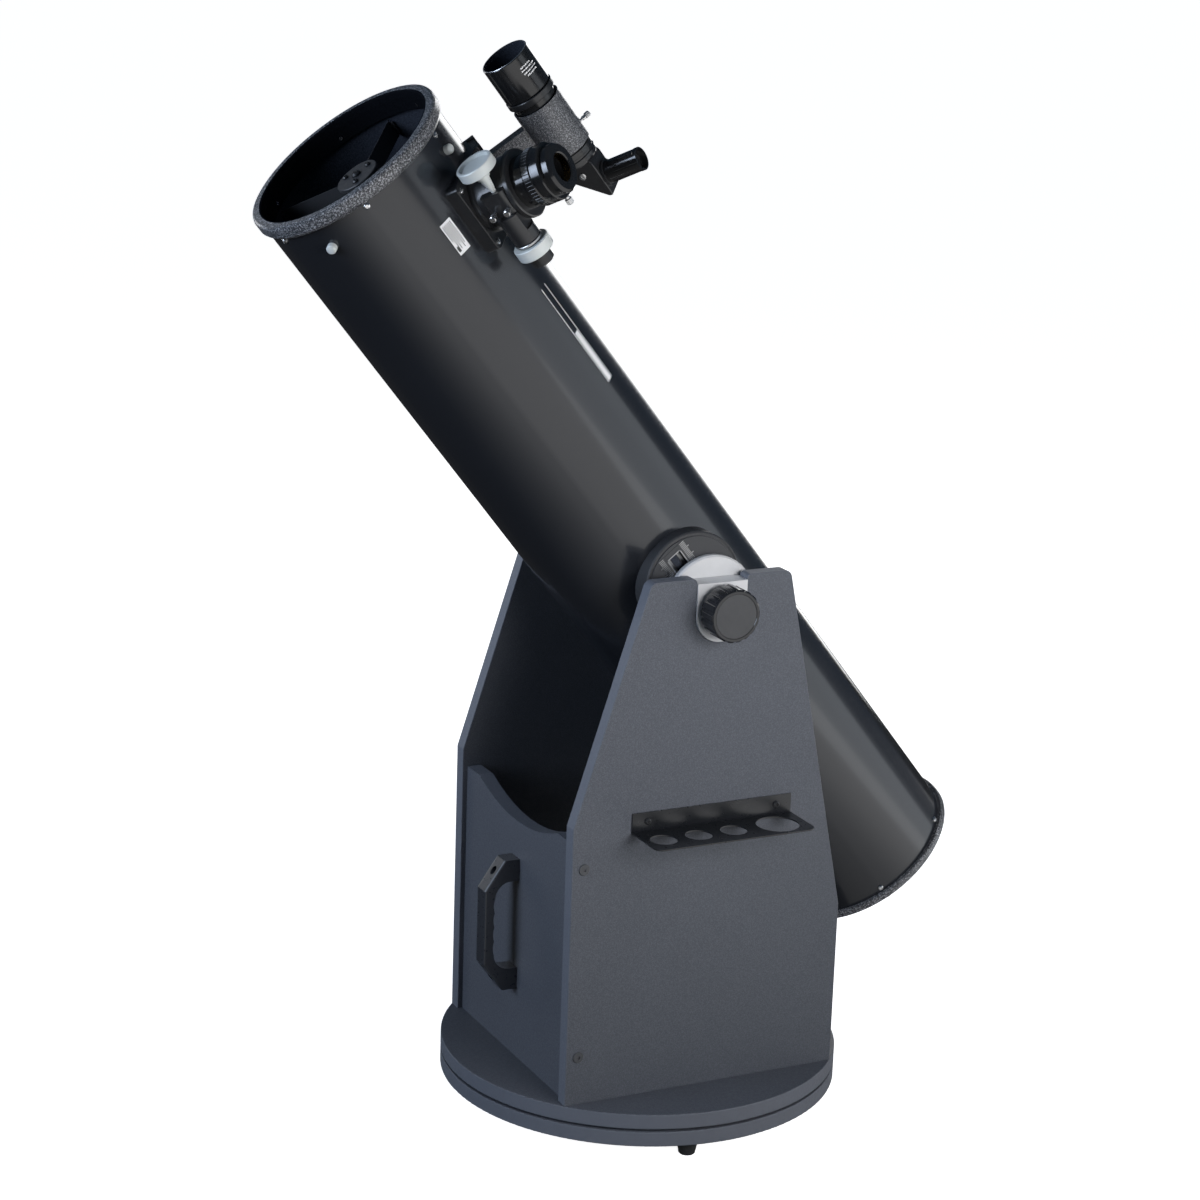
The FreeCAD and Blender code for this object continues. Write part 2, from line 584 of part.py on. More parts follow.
hub_screws.append(pan_screw(Vector(0, 0, HUB_Z), Z, 5.6, 4.0, 2.6, 24))
hub_cap = turned([(0, VANE_Z1), (26, VANE_Z1), (26, HUB_Z - 0.8), (25.2, HUB_Z), (0, HUB_Z)])
spider = spider.fuse(hub_cap).removeSplitter()
for screw in hub_screws:
    spider = spider.cut(screw)
tube_nodes["secondary_screws"] = group(hub_screws)
tube_nodes["spider"] = spider
tube_nodes["spider_nuts"] = group(spider_nuts)

# Secondary mirror: a flat ellipse at 45 degrees that turns the light out through the focuser.
SECONDARY_R = 25.0
SECONDARY_T = 8.0
DIAGONAL_Z = FRONT_Z - FOCUSER_S
diagonal_normal = (outward(SPIDER_ANGLE) - Z) * (1 / math.sqrt(2))
diagonal_centre = Z * DIAGONAL_Z


def diagonal_slab(behind, front_depth):
    """Slab parallel to the diagonal mirror, between two depths behind its face."""
    size = 200.0
    slab = Part.makeBox(size, size, front_depth - behind, Vector(-size / 2, -size / 2, behind))
    slab.Placement = Placement(diagonal_centre, Rotation(Z, diagonal_normal))
    return slab


secondary = rod(SECONDARY_R, Z * (DIAGONAL_Z - 60), Z * (DIAGONAL_Z + 60)).common(
    diagonal_slab(-SECONDARY_T, 0))
holder = rod(SECONDARY_R - 0.6, Z * (DIAGONAL_Z - 60), Z * (DIAGONAL_Z + 46)).common(
    diagonal_slab(-120, -SECONDARY_T))
holder = holder.fuse(rod(7, Z * (DIAGONAL_Z + 40), Z * VANE_Z0))
for screw in hub_screws:
    holder = holder.cut(screw)
tube_nodes["secondary_mirror"] = secondary
tube_nodes["secondary_holder"] = holder

# Primary mirror on its plate; three spring-loaded screws move the plate for collimation.
PLATE_Z0, PLATE_Z1 = -476.0, -468.0
mirror_front = PLATE_Z1 + MIRROR_T
sphere_centre = Z * (mirror_front + math.sqrt((2 * FOCAL_LENGTH) ** 2 - MIRROR_R ** 2))
primary = rod(MIRROR_R, Z * PLATE_Z1, Z * mirror_front)
primary = primary.cut(Part.makeSphere(2 * FOCAL_LENGTH, sphere_centre))
tube_nodes["primary_mirror"] = primary
plate = rod(104, Z * PLATE_Z0, Z * PLATE_Z1).cut(rod(40, Z * PLATE_Z0, Z * PLATE_Z1))
knob_angles = [SPIDER_ANGLE + 60 + 120 * k for k in range(3)]
lock_angles = [SPIDER_ANGLE + 120 * k for k in range(3)]
for angle in knob_angles:
    at = outward(angle) * COLLIMATION_R
    plate = plate.fuse(rod(3.0, at + Z * PLATE_Z0, at + Z * -512))
    cell = cell.cut(rod(3.0 + RUN, at + Z * -480, at + Z * -500))
clips = []
for angle in lock_angles:
    clip = box(-8, 8, MIRROR_R + 0.2, 104, PLATE_Z1, mirror_front + 3)
    clip = clip.fuse(box(-8, 8, MIRROR_R - 5, 104, mirror_front + 0.3, mirror_front + 3))
    clip.rotate(ORIGIN, Z, -angle)
    clips.append(clip)
tube_nodes["mirror_plate"] = group([plate] + clips)
for number, angle in enumerate(knob_angles, 1):
    at = outward(angle) * COLLIMATION_R + Z * (CELL_WEB_Z0 - 0.3)
    knob = turned([(3.06, 0), (9, 0), (11.5, -4), (11.5, -17), (9.5, -20), (3.06, -20)], at, Z)
    tube_nodes["collimation_knob_%d" % number] = knob
lock_screws = []
for angle in lock_angles:
    at = outward(angle) * COLLIMATION_R
    screw = turned([(0, -6), (5, -6), (5, 0), (2.5, 0), (2.5, 18), (0, 18)], at + Z * CELL_WEB_Z0, Z)
    lock_screws.append(screw)
    cell = cell.cut(screw)
tube_nodes["mirror_lock_screws"] = group(lock_screws)

tube_nodes["tube_shell"] = shell
tube_nodes["front_ring"] = front_ring
tube_nodes["mirror_cell"] = cell

# ---- Focuser: a dual-speed Crayford, drawn with z out from the tube and x to its front -------------
FOCUSER = radial_frame(SPIDER_ANGLE, FOCUSER_S)
BASE_X, BASE_Y, BASE_TOP = 44.0, 42.0, 123.0
BODY_R, BODY_TOP = 37.0, 168.0
FLANGE_TOP = 174.4
DRAW_R = 30.0
SHAFT_R = 3.0
SHAFT_Y = DRAW_R + SHAFT_R + 0.1
SHAFT_H = 155.5            # height of the focusing shaft above the tube axis
REDUCER_X = -32.5          # front end of the reducer housing
COLLAR_H0, COLLAR_H1, END_H = 189.0, 213.0, 224.4


def in_focuser(shape):
    """Shape drawn in the focuser's frame, moved on to the upright tube."""
    return placed(shape, FOCUSER)


def focuser_base():
    """Square foot of the focuser, hollowed to sit on the tube."""
    base = box(-BASE_X, BASE_X, -BASE_Y, BASE_Y, 95, BASE_TOP)
    base = eased(base, lambda e: e.BoundBox.ZLength > 10, 6.0)
    base = eased(base, lambda e: e.BoundBox.ZMin > BASE_TOP - 0.1, 1.0)
    base = base.cut(rod(TUBE_R, X * -100, X * 100))
    return base.cut(rod(DRAW_R + 3, Z * 60, Z * 200))


def focuser_body():
    """Round body with its flange, and the block that carries the focusing shaft."""
    body = turned([(0, BASE_TOP), (BODY_R + 1.5, BASE_TOP), (BODY_R + 1.5, BASE_TOP + 4),
                   (BODY_R - 1, BASE_TOP + 6), (BODY_R - 1, BODY_TOP), (38.1, BODY_TOP),
                   (39.1, BODY_TOP + 1), (39.1, FLANGE_TOP - 1.2), (37.6, FLANGE_TOP), (0, FLANGE_TOP)])
    block = box(-15, 20, 20, 41, 138, BODY_TOP)
    block = eased(block, lambda e: e.BoundBox.XLength > 20 and e.BoundBox.YMin > 40, 5.0)
    boss = rod(16, Vector(REDUCER_X, SHAFT_Y, SHAFT_H), Vector(-10, SHAFT_Y, SHAFT_H))
    boss = boss.cut(box(REDUCER_X, 0, 0, 60, BODY_TOP, 200))
    body = body.fuse(block).fuse(boss).removeSplitter()
    body = body.cut(rod(DRAW_R + RUN, Z * 100, Z * 200))
    shaft = rod(SHAFT_R + RUN, Vector(-60, SHAFT_Y, SHAFT_H), Vector(60, SHAFT_Y, SHAFT_H))
    return body.cut(shaft)


def reducer_housing():
    """Ten-to-one planetary reducer on the rear end of the focusing shaft."""
    profile = [(SHAFT_R + RUN, 0), (16, 0), (16, 13.6), (15, 14.6), (15, 18), (SHAFT_R + RUN, 18)]
    return turned(profile, Vector(REDUCER_X, SHAFT_Y, SHAFT_H), X * -1)


def coarse_knobs():
    """Focusing shaft with a dished knob in front and a second knob behind the reducer."""
    at = Vector(0, SHAFT_Y, SHAFT_H)
    front_knob = turned([(0, 24), (3.6, 24), (6.0, 38), (6.0, 39.5), (7.8, 39.5), (7.8, 45), (9.5, 47),
                         (21.2, 48), (22, 48.8), (22, 59), (21.2, 60), (18.5, 60), (17, 56.5), (0, 55.5)],
                        at, X)
    rear_knob = turned([(0, 51.5), (20.6, 51.5), (21.5, 52.4), (21.5, 64.4), (20.6, 65.3), (0, 65.3)],
                       at, X * -1)
    return front_knob.fuse(rod(SHAFT_R, at - X * 60, at + X * 30)).fuse(rear_knob)


def fine_knob():
    """Small black fine-focus knob."""
    at = Vector(-65.8, SHAFT_Y, SHAFT_H)
    knob = turned([(0, 0), (12.4, 0), (13.4, 1), (13.4, 13), (12.4, 14), (0, 14)], at, X * -1)
    for k in range(24):
        groove = polar(13.7, 15 * k)
        cut = rod(0.6, Vector(-82, SHAFT_Y + groove.x, SHAFT_H + groove.y),
                  Vector(-65, SHAFT_Y + groove.x, SHAFT_H + groove.y))
        knob = knob.cut(cut)
    return knob


def drawtube():
    """Sliding barrel with its knurled collar and a 2 inch bore."""
    barrel = turned([(TWO_INCH_R, 116), (DRAW_R, 116), (DRAW_R, COLLAR_H0), (32.2, COLLAR_H0 + 0.6),
                     (32.8, COLLAR_H0 + 2), (32.8, COLLAR_H0 + 10), (31.4, COLLAR_H0 + 11.4),
                     (31.4, COLLAR_H0 + 13), (32.8, COLLAR_H0 + 14), (32.8, COLLAR_H1 - 1.4),
                     (31.6, COLLAR_H1), (TWO_INCH_R, COLLAR_H1)])
    for k in range(48):
        groove = polar(33.1, 7.5 * k, COLLAR_H0 + 2)
        barrel = barrel.cut(rod(0.7, groove, groove + Z * 8))
    return barrel


def eyepiece_adapter():
    """Adapter from the 2 inch collar to 1.25 inch eyepieces, bored inside for its brass ring."""
    return turned([(EYEPIECE_R, 196), (TWO_INCH_R - RUN, 196), (TWO_INCH_R - RUN, COLLAR_H1),
                   (28.2, COLLAR_H1), (28.2, END_H - 3.2), (25.6, END_H), (17.2, END_H), (EYEPIECE_R, END_H - 1.2),
                   (EYEPIECE_R, 222), (17.2, 222), (17.2, 214), (EYEPIECE_R, 214)])


BASE_SCREW_X, BASE_SCREW_Y = 36.0, 35.0
base_screws = [chrome_screw(Vector(sx * BASE_SCREW_X, sy * BASE_SCREW_Y, BASE_TOP), Z)
               for sx in (1, -1) for sy in (1, -1)]
base = focuser_base()
for screw in base_screws:
    base = base.cut(screw)
body = focuser_body()
TENSION_AT = Vector(-2, 41, 145)
LOCK_AT = Vector(-2, 41, 164)
COLLAR_SCREW_AT = Vector(-32.8, 0, 206)
tension_screw = thumbscrew(TENSION_AT, Y, 4.0, 6.5, 5.0, 1.7, 6)
lock_screw = thumbscrew(LOCK_AT, Y, 4.0, 6.5, 5.0, 1.7, 6)
collar_screw = thumbscrew(COLLAR_SCREW_AT, X * -1, 4.2, 7.0, 4.0, 1.9, 7.2)
draw = drawtube().cut(rod(1.9 + RUN, COLLAR_SCREW_AT, COLLAR_SCREW_AT + X * 9))
for at in (TENSION_AT, LOCK_AT):
    body = body.cut(rod(1.7 + RUN, at - Y * 6.2, at))
adapter = eyepiece_adapter()
tube_nodes["focuser_base"] = in_focuser(base)
tube_nodes["tube_screws"] = group(ring_screws + [in_focuser(screw) for screw in base_screws])
tube_nodes["focuser_body"] = in_focuser(body)
tube_nodes["reducer_housing"] = in_focuser(reducer_housing())
tube_nodes["coarse_focus_knobs"] = in_focuser(coarse_knobs())
tube_nodes["fine_focus_knob"] = in_focuser(fine_knob())
tube_nodes["focus_tension_screw"] = in_focuser(tension_screw)
tube_nodes["focus_lock_screw"] = in_focuser(lock_screw)
tube_nodes["drawtube"] = in_focuser(draw)
tube_nodes["eyepiece_thumbscrew"] = in_focuser(collar_screw)
tube_nodes["eyepiece_adapter"] = in_focuser(adapter)
tube_nodes["compression_ring"] = in_focuser(pipe(17.2, EYEPIECE_R, Z * 214, Z * 222))

# ---- Finder: an 8x50 right-angle finder in its bracket, drawn along the tube ----------------------
FINDER_AXIS = outward(FINDER_ANGLE) * FINDER_R
FINDER_TUBE_R = 25.3
BRACKET_R, BRACKET_IN_R = 28.5, 26.9
FINDER_S0 = 20.0           # front rim of the finder's dew shield
BRACKET_S0, BRACKET_S1 = 83.5, 148.0
FINDER_SCREW_S = 135.5
PRISM_S0 = 168.0
EYE_S = 196.5


def finder_at(s):
    """Point on the finder's axis, s back from the tube's front plane."""
    return FINDER_AXIS + Z * (FRONT_Z - s)


def finder_turned(profile):
    """Turned finder part: profile lists (radius, distance behind the finder's front rim)."""
    return turned([(r, FRONT_Z - FINDER_S0 - back) for r, back in profile], FINDER_AXIS, Z)


# Objective cell and dew shield, screwed on the main barrel; it turns to focus and the ring locks it.
barrel_end = PRISM_S0 - FINDER_S0
shield = finder_turned([(26.4, 0), (27.6, 0), (28.3, 0.7), (28.3, 45.5), (27.4, 46.9), (25.36, 46.9),
                        (25.36, 45.1), (24.0, 45.1), (24.0, 41.1), (26.4, 41.1)])
lens = finder_turned([(0, 34.3), (12, 34.7), (20, 35.5), (26.4, 36.7), (26.4, 41.1), (0, 41.1)])
lock_ring = finder_turned([(FINDER_TUBE_R, 47.5), (28.8, 47.5), (29.2, 48.1), (29.2, 54.5), (28.4, 55.3),
                           (FINDER_TUBE_R, 55.3)])
barrel = finder_turned([(23.8, 45.5), (FINDER_TUBE_R, 45.5), (FINDER_TUBE_R, 130), (26.6, 131), (26.6, 137),
                        (25.4, 138), (25.4, 140), (26.6, 141), (26.6, 146), (25.6, barrel_end),
                        (23.8, barrel_end)])
tube_nodes["finder_objective_cell"] = shield
tube_nodes["finder_objective_lens"] = lens
tube_nodes["finder_lock_ring"] = lock_ring
tube_nodes["finder_tube"] = barrel

# Prism housing: a right-angled box that sends the view out beside the focuser.
PRISM_HALF_W = 16.0
eye_dir = outward(SPIDER_ANGLE)
eye_side = eye_dir.cross(Z)


def prism_point(s, u):
    """Point in the prism's plane: s along the finder, u out along its eyepiece."""
    return finder_at(s) + eye_dir * u - eye_side * PRISM_HALF_W


housing_outline = [prism_point(PRISM_S0, -21), prism_point(PRISM_S0, 21), prism_point(PRISM_S0 + 5, 23),
                   prism_point(PRISM_S0 + 49, 23), prism_point(PRISM_S0 + 49, 18),
                   prism_point(PRISM_S0 + 7, -24), prism_point(PRISM_S0 + 3, -24)]
prism_housing = prism(housing_outline, eye_side * (2 * PRISM_HALF_W))
prism_housing = prism_housing.makeChamfer(1.0, prism_housing.Edges)
neck_from = finder_at(EYE_S) + eye_dir * 23
prism_housing = prism_housing.fuse(rod(15.5, neck_from - eye_dir * 2, neck_from + eye_dir * 3))
tube_nodes["finder_prism_housing"] = prism_housing
eye_profile = [(11.5, 3), (13.2, 3), (13.2, 42.6), (13.6, 43.2), (13.6, 47), (11.5, 47)]
eye_tube = turned(eye_profile, neck_from, eye_dir)
eye_lens = turned([(0, 38), (11.5, 38), (11.5, 40), (7, 41.2), (0, 41.6)], neck_from, eye_dir)
tube_nodes["finder_eyepiece"] = group([eye_tube, eye_lens])


def stalk_block(half_w, r0, r1, s0, s1):
    """Block under the finder bracket: half width across, between two distances from the tube axis."""
    block = box(-half_w, half_w, r0, r1, FRONT_Z - s1, FRONT_Z - s0)
    block.rotate(ORIGIN, Z, -FINDER_ANGLE)
    return block


bracket = pipe(BRACKET_R, BRACKET_IN_R, finder_at(BRACKET_S0), finder_at(BRACKET_S1))
stalk = stalk_block(7.5, 126, FINDER_R - 20, 100, 134).cut(rod(BRACKET_IN_R, finder_at(60), finder_at(160)))
DOVETAIL_W0, DOVETAIL_W1 = 14.0, 11.5     # half widths of the dovetail's foot and neck
DOVETAIL_R0, DOVETAIL_R1 = 119.2, 127.0
DOVETAIL_PLAY = 0.2


def dovetail_bar(s0, s1, grow):
    """Dovetail bar along the tube, grown on its flanks to make the channel."""
    foot, neck = DOVETAIL_W0 + grow, DOVETAIL_W1 + grow
    ends = [(-foot, DOVETAIL_R0), (foot, DOVETAIL_R0), (neck, DOVETAIL_R1), (-neck, DOVETAIL_R1)]
    points = [Vector(w, r, FRONT_Z - s1) for w, r in ends]
    bar = prism(points, Z * (s1 - s0))
    bar.rotate(ORIGIN, Z, -FINDER_ANGLE)
    return bar


dovetail = dovetail_bar(80, 134, 0)
bracket = bracket.fuse(stalk).fuse(dovetail).removeSplitter()
shoe = stalk_block(19, 100, 129, 78, 136).cut(rod(TUBE_R, Z * 400, Z * 700))
channel = dovetail_bar(60, 160, DOVETAIL_PLAY)
channel = channel.fuse(stalk_block(DOVETAIL_W1 + DOVETAIL_PLAY, DOVETAIL_R1, DOVETAIL_R1 + 3, 60, 160))
tube_nodes["finder_shoe"] = shoe.cut(channel)

# Two thumbscrews and a sprung plunger hold the finder's barrel inside the bracket.
FINDER_SCREW_ANGLES = (0.0, -90.0)
PLUNGER_ANGLE = 135.0
for number, angle in enumerate(FINDER_SCREW_ANGLES, 1):
    at = finder_at(FINDER_SCREW_S) + outward(angle) * BRACKET_R
    inward_l = BRACKET_R - FINDER_TUBE_R - 0.05
    tube_nodes["finder_thumbscrew_%d" % number] = thumbscrew(at, outward(angle), 3.4, 6.5, 8.0, 1.5, inward_l)
    bracket = bracket.cut(rod(1.5 + RUN, at - outward(angle) * 6, at + outward(angle)))
plunger_dir = outward(PLUNGER_ANGLE)
plunger_at = finder_at(FINDER_SCREW_S)
sleeve = pipe(4.5, 2.5 + RUN, plunger_at + plunger_dir * (BRACKET_R - 1), plunger_at + plunger_dir * 41)
bracket = bracket.fuse(sleeve).cut(rod(2.5 + RUN, plunger_at + plunger_dir * 20, plunger_at + plunger_dir * 50))
tube_nodes["finder_bracket"] = bracket
plunger = rod(2.5, plunger_at + plunger_dir * (FINDER_TUBE_R + 0.05), plunger_at + plunger_dir * 44)
plunger = plunger.fuse(rod(3.6, plunger_at + plunger_dir * 42.6, plunger_at + plunger_dir * 46))
tube_nodes["finder_plunger"] = plunger

for name, shape in tube_nodes.items():
    nodes[name] = placed(shape, TUBE)

os.makedirs("parts", exist_ok=True)
for name, shape in nodes.items():
    assert shape.isValid(), name
    shape.exportStep("parts/%s.step" % name)
    print("%-24s solids %d  volume %.0f" % (name, len(shape.Solids), shape.Volume))
print(len(nodes), "nodes")
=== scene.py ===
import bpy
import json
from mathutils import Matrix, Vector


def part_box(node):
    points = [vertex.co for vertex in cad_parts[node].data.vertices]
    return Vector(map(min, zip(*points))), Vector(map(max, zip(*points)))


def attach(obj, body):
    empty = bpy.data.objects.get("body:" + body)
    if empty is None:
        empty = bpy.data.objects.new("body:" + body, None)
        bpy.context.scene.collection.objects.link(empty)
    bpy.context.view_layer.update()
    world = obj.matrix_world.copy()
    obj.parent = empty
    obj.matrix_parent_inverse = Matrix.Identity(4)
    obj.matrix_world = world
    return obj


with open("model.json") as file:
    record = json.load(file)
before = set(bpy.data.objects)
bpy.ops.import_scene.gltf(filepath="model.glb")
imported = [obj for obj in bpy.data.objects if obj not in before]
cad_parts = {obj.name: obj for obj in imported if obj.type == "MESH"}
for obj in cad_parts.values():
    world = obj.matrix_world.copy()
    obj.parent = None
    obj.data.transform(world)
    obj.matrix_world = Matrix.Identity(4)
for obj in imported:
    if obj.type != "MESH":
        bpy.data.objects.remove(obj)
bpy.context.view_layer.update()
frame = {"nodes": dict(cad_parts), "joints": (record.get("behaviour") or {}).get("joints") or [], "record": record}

import json
import math

import bmesh
import bpy
from mathutils import Matrix, Vector

# Dobsonian telescope. Metres, +Z up, origin on the floor under the round boards.
MM = 0.001
NODES = frame["nodes"]
JOINTS = {joint["name"]: joint for joint in frame["joints"]}
MOUNTS = {mount["name"]: mount for mount in frame["record"]["mounts"]}

# ---- Directions and places taken from the frame ---------------------------------------------------
RIGHT = Vector((1, 0, 0))
PIVOT = Vector(JOINTS["altitude_tilt"]["pos_m"])
AHEAD = Vector(JOINTS["mirror_collimation"]["axis"]).normalized()      # along the tube, to its open end
TUBE_UP = AHEAD.cross(RIGHT)
FOCUS_OUT = Vector(JOINTS["drawtube_slide"]["axis"]).normalized()      # out along the focuser
FOCUS_SIDE = FOCUS_OUT.cross(AHEAD)
FINDER_ON = Vector(JOINTS["finder_focus"]["pos_m"])                    # a point on the finder's axis
FINDER_AXIS = FINDER_ON - AHEAD * (FINDER_ON - PIVOT).dot(AHEAD)       # its point beside the pivot
TUBE_R = 115 * MM
TUBE_WALL = 1 * MM
RING_IN_R = 110.9 * MM
SHIELD_IN_R = 26.45 * MM
BARREL_IN_R = 24.5 * MM


def front_of(node):
    """How far a node reaches ahead of the pivot, along the tube."""
    return max((vertex.co - PIVOT).dot(AHEAD) for vertex in NODES[node].data.vertices)


RING_FRONT = front_of("front_ring")
FINDER_FRONT = front_of("finder_objective_cell")


def outward(degrees):
    """Direction out from the tube, turned from its top line towards the rack side."""
    a = math.radians(degrees)
    return RIGHT * math.sin(a) + TUBE_UP * math.cos(a)


def basis(origin, x, y):
    """Placement from an origin and two directions."""
    z = x.cross(y).normalized()
    return Matrix.Translation(origin) @ Matrix((x, y, z)).transposed().to_4x4()


def in_mm(place):
    """The same placement, for points given in millimetres."""
    return place @ Matrix.Scale(MM, 4)


# ---- Material helpers -----------------------------------------------------------------------------
MIX_COLOUR_A, MIX_COLOUR_B, MIX_COLOUR_OUT = 6, 7, 2      # a mix node's sockets for colours


class Shader:
    """A node material with one Principled shader, built a step at a time."""

    def __init__(self, name, roughness=0.5, metallic=0.0, **inputs):
        self.material = bpy.data.materials.new(name)
        self.material.use_nodes = True
        self.nodes = self.material.node_tree.nodes
        self.links = self.material.node_tree.links
        self.principled = self.nodes["Principled BSDF"]
        self.principled.inputs["Roughness"].default_value = roughness
        self.principled.inputs["Metallic"].default_value = metallic
        for key, value in inputs.items():
            self.principled.inputs[key.replace("_", " ")].default_value = value
        self.place = self.nodes.new("ShaderNodeTexCoord").outputs["Object"]
        self.last_bump = None

    def node(self, kind, **settings):
        made = self.nodes.new(kind)
        for key, value in settings.items():
            setattr(made, key, value)
        return made

    def noise(self, scale, detail=3.0, rough=0.55):
        """Soft random value from 0 to 1, in features of about 1 / scale metres."""
        made = self.node("ShaderNodeTexNoise")
        made.inputs["Scale"].default_value = scale
        made.inputs["Detail"].default_value = detail
        made.inputs["Roughness"].default_value = rough
        self.links.new(self.place, made.inputs["Vector"])
        return made.outputs["Fac"]

    def cells(self, scale, feature="F1"):
        """Distance from the nearest of many scattered points."""
        made = self.node("ShaderNodeTexVoronoi", feature=feature)
        made.inputs["Scale"].default_value = scale
        self.links.new(self.place, made.inputs["Vector"])
        return made.outputs["Distance"]

    def ramp(self, value, low, high, colour_low, colour_high):
        """Colour that runs between two tones as a value runs from low to high."""
        made = self.node("ShaderNodeValToRGB")
        first, second = made.color_ramp.elements
        first.position, second.position = low, high
        first.color, second.color = (*colour_low, 1), (*colour_high, 1)
        self.links.new(value, made.inputs["Fac"])
        return made.outputs["Color"]

    def mix(self, factor, a, b, blend="MIX"):
        """Blend of two colours, each a tone or a socket."""
        made = self.node("ShaderNodeMix", data_type="RGBA", blend_type=blend)
        self.feed(made.inputs["Factor"], factor)
        self.feed(made.inputs[MIX_COLOUR_A], a)
        self.feed(made.inputs[MIX_COLOUR_B], b)
        return made.outputs[MIX_COLOUR_OUT]

    def feed(self, socket, value):
        """Link a socket, or set a number or a tone on it."""
        if isinstance(value, bpy.types.NodeSocket):
            self.links.new(value, socket)
        elif isinstance(value, (int, float)):
            socket.default_value = value
        else:
            socket.default_value = (*value, 1)

    def colour(self, value):
        self.feed(self.principled.inputs["Base Color"], value)

    def roughness(self, value, low, high):
        """Roughness that varies between two limits with a value."""
        made = self.node("ShaderNodeMapRange")
        made.inputs["From Min"].default_value = 0.3
        made.inputs["From Max"].default_value = 0.7
        made.inputs["To Min"].default_value = low
        made.inputs["To Max"].default_value = high
        self.links.new(value, made.inputs["Value"])
        self.links.new(made.outputs["Result"], self.principled.inputs["Roughness"])

    def bump(self, height, depth, strength=1.0):
        """Relief of a depth in metres; later calls add to earlier ones."""
        made = self.node("ShaderNodeBump")
        made.inputs["Strength"].default_value = strength
        made.inputs["Distance"].default_value = depth
        self.links.new(height, made.inputs["Height"])
        if self.last_bump:
            self.links.new(self.last_bump, made.inputs["Normal"])
        self.last_bump = made.outputs["Normal"]
        self.links.new(self.last_bump, self.principled.inputs["Normal"])

    def outside(self, point, direction, radius):
        """1 further than a radius from an axis and 0 nearer to it."""
        offset = self.node("ShaderNodeVectorMath", operation="SUBTRACT")
        offset.inputs[1].default_value = point
        self.links.new(self.place, offset.inputs[0])
        cross = self.node("ShaderNodeVectorMath", operation="CROSS_PRODUCT")
        cross.inputs[1].default_value = direction
        self.links.new(offset.outputs["Vector"], cross.inputs[0])
        length = self.node("ShaderNodeVectorMath", operation="LENGTH")
        self.links.new(cross.outputs["Vector"], length.inputs[0])
        made = self.node("ShaderNodeMath", operation="GREATER_THAN")
        made.inputs[1].default_value = radius
        self.links.new(length.outputs["Value"], made.inputs[0])
        return made.outputs["Value"]

    def facing(self, axis, low, high):
        """0 to 1 as the surface turns to face along an axis of the object, either way."""
        normal = self.node("ShaderNodeTexCoord").outputs["Normal"]
        split = self.node("ShaderNodeSeparateXYZ")
        self.links.new(normal, split.inputs["Vector"])
        size = self.node("ShaderNodeMath", operation="ABSOLUTE")
        self.links.new(split.outputs[axis], size.inputs[0])
        made = self.node("ShaderNodeMapRange")
        made.inputs["From Min"].default_value = low
        made.inputs["From Max"].default_value = high
        self.links.new(size.outputs["Value"], made.inputs["Value"])
        return made.outputs["Result"]


def grey(value, blue=0.0):
    """Near-neutral tone, with a little blue added."""
    return (value, value * (1 + 0.3 * blue), value * (1 + blue))


# ---- Materials ------------------------------------------------------------------------------------
def laminate(name, face_axis):
    """Black board with a fine pebble grain on its faces and smoother banding on its edges, whose paler tone is
    painted sheen.
    """
    s = Shader(name, 0.55, Specular_IOR_Level=0.5)
    tone = s.mix(s.noise(9, 4), grey(0.070, 0.26), grey(0.082, 0.26))
    speckle = s.ramp(s.noise(900, 2), 0.42, 0.68, grey(0.80), grey(1.25))
    grain = s.mix(1.0, tone, speckle, "MULTIPLY")
    # Edge banding: its paler tone is a painted sheen of light on the edges, not a paler material.
    edge_band_and_sheen = s.mix(s.noise(60, 3), grey(0.110, 0.26), grey(0.126, 0.26))
    on_face = s.facing(face_axis, 0.55, 0.85)
    s.colour(s.mix(on_face, edge_band_and_sheen, grain))
    s.roughness(s.noise(300, 3), 0.46, 0.62)
    s.bump(s.cells(1150), 0.00016, 0.55)
    s.bump(s.noise(2600, 2), 0.00004, 0.5)
    return s.material


def hammertone(name, low=0.027, high=0.44, scale=430, depth=0.00025, flat_inside=None):
    """Black hammertone enamel: shallow dimples with painted pale glints in its colour, and plain black inside a
    radius.
    """
    s = Shader(name, 0.32, Coat_Weight=0.25, Coat_Roughness=0.15)
    dimples = s.cells(scale, "SMOOTH_F1")
    # Painted glints: pale specks in the colour that stand in for the sparkle of light on the enamel.
    painted_glints = s.ramp(s.noise(scale * 1.3, 2), 0.47, 0.66, grey(low, 0.15), grey(high, 0.08))
    shade = s.mix(s.ramp(dimples, 0.2, 0.7, grey(0.0), grey(0.55)), painted_glints, grey(low * 1.6, 0.1))
    s.roughness(s.noise(900, 3), 0.24, 0.40)
    s.bump(dimples, depth, 0.6)
    if flat_inside:
        add_flock(s, shade, PIVOT, flat_inside, 0.004, 0.008)
    else:
        s.colour(shade)
    return s.material


def add_flock(s, outer, point, radius, low=0.018, high=0.040):
    """Flat black nearer than a radius to an axis that runs ahead through a point; the outer tone beyond."""
    mask = s.outside(point, AHEAD, radius)
    inner = s.ramp(s.noise(700, 4), 0.35, 0.7, grey(low, 0.5), grey(high, 0.5))
    s.colour(s.mix(mask, inner, outer))
    flat = s.node("ShaderNodeBsdfDiffuse")
    s.links.new(inner, flat.inputs["Color"])
    blend = s.node("ShaderNodeMixShader")
    s.links.new(mask, blend.inputs["Fac"])
    s.links.new(flat.outputs["BSDF"], blend.inputs[1])
    s.links.new(s.principled.outputs["BSDF"], blend.inputs[2])
    s.links.new(blend.outputs["Shader"], s.nodes["Material Output"].inputs["Surface"])


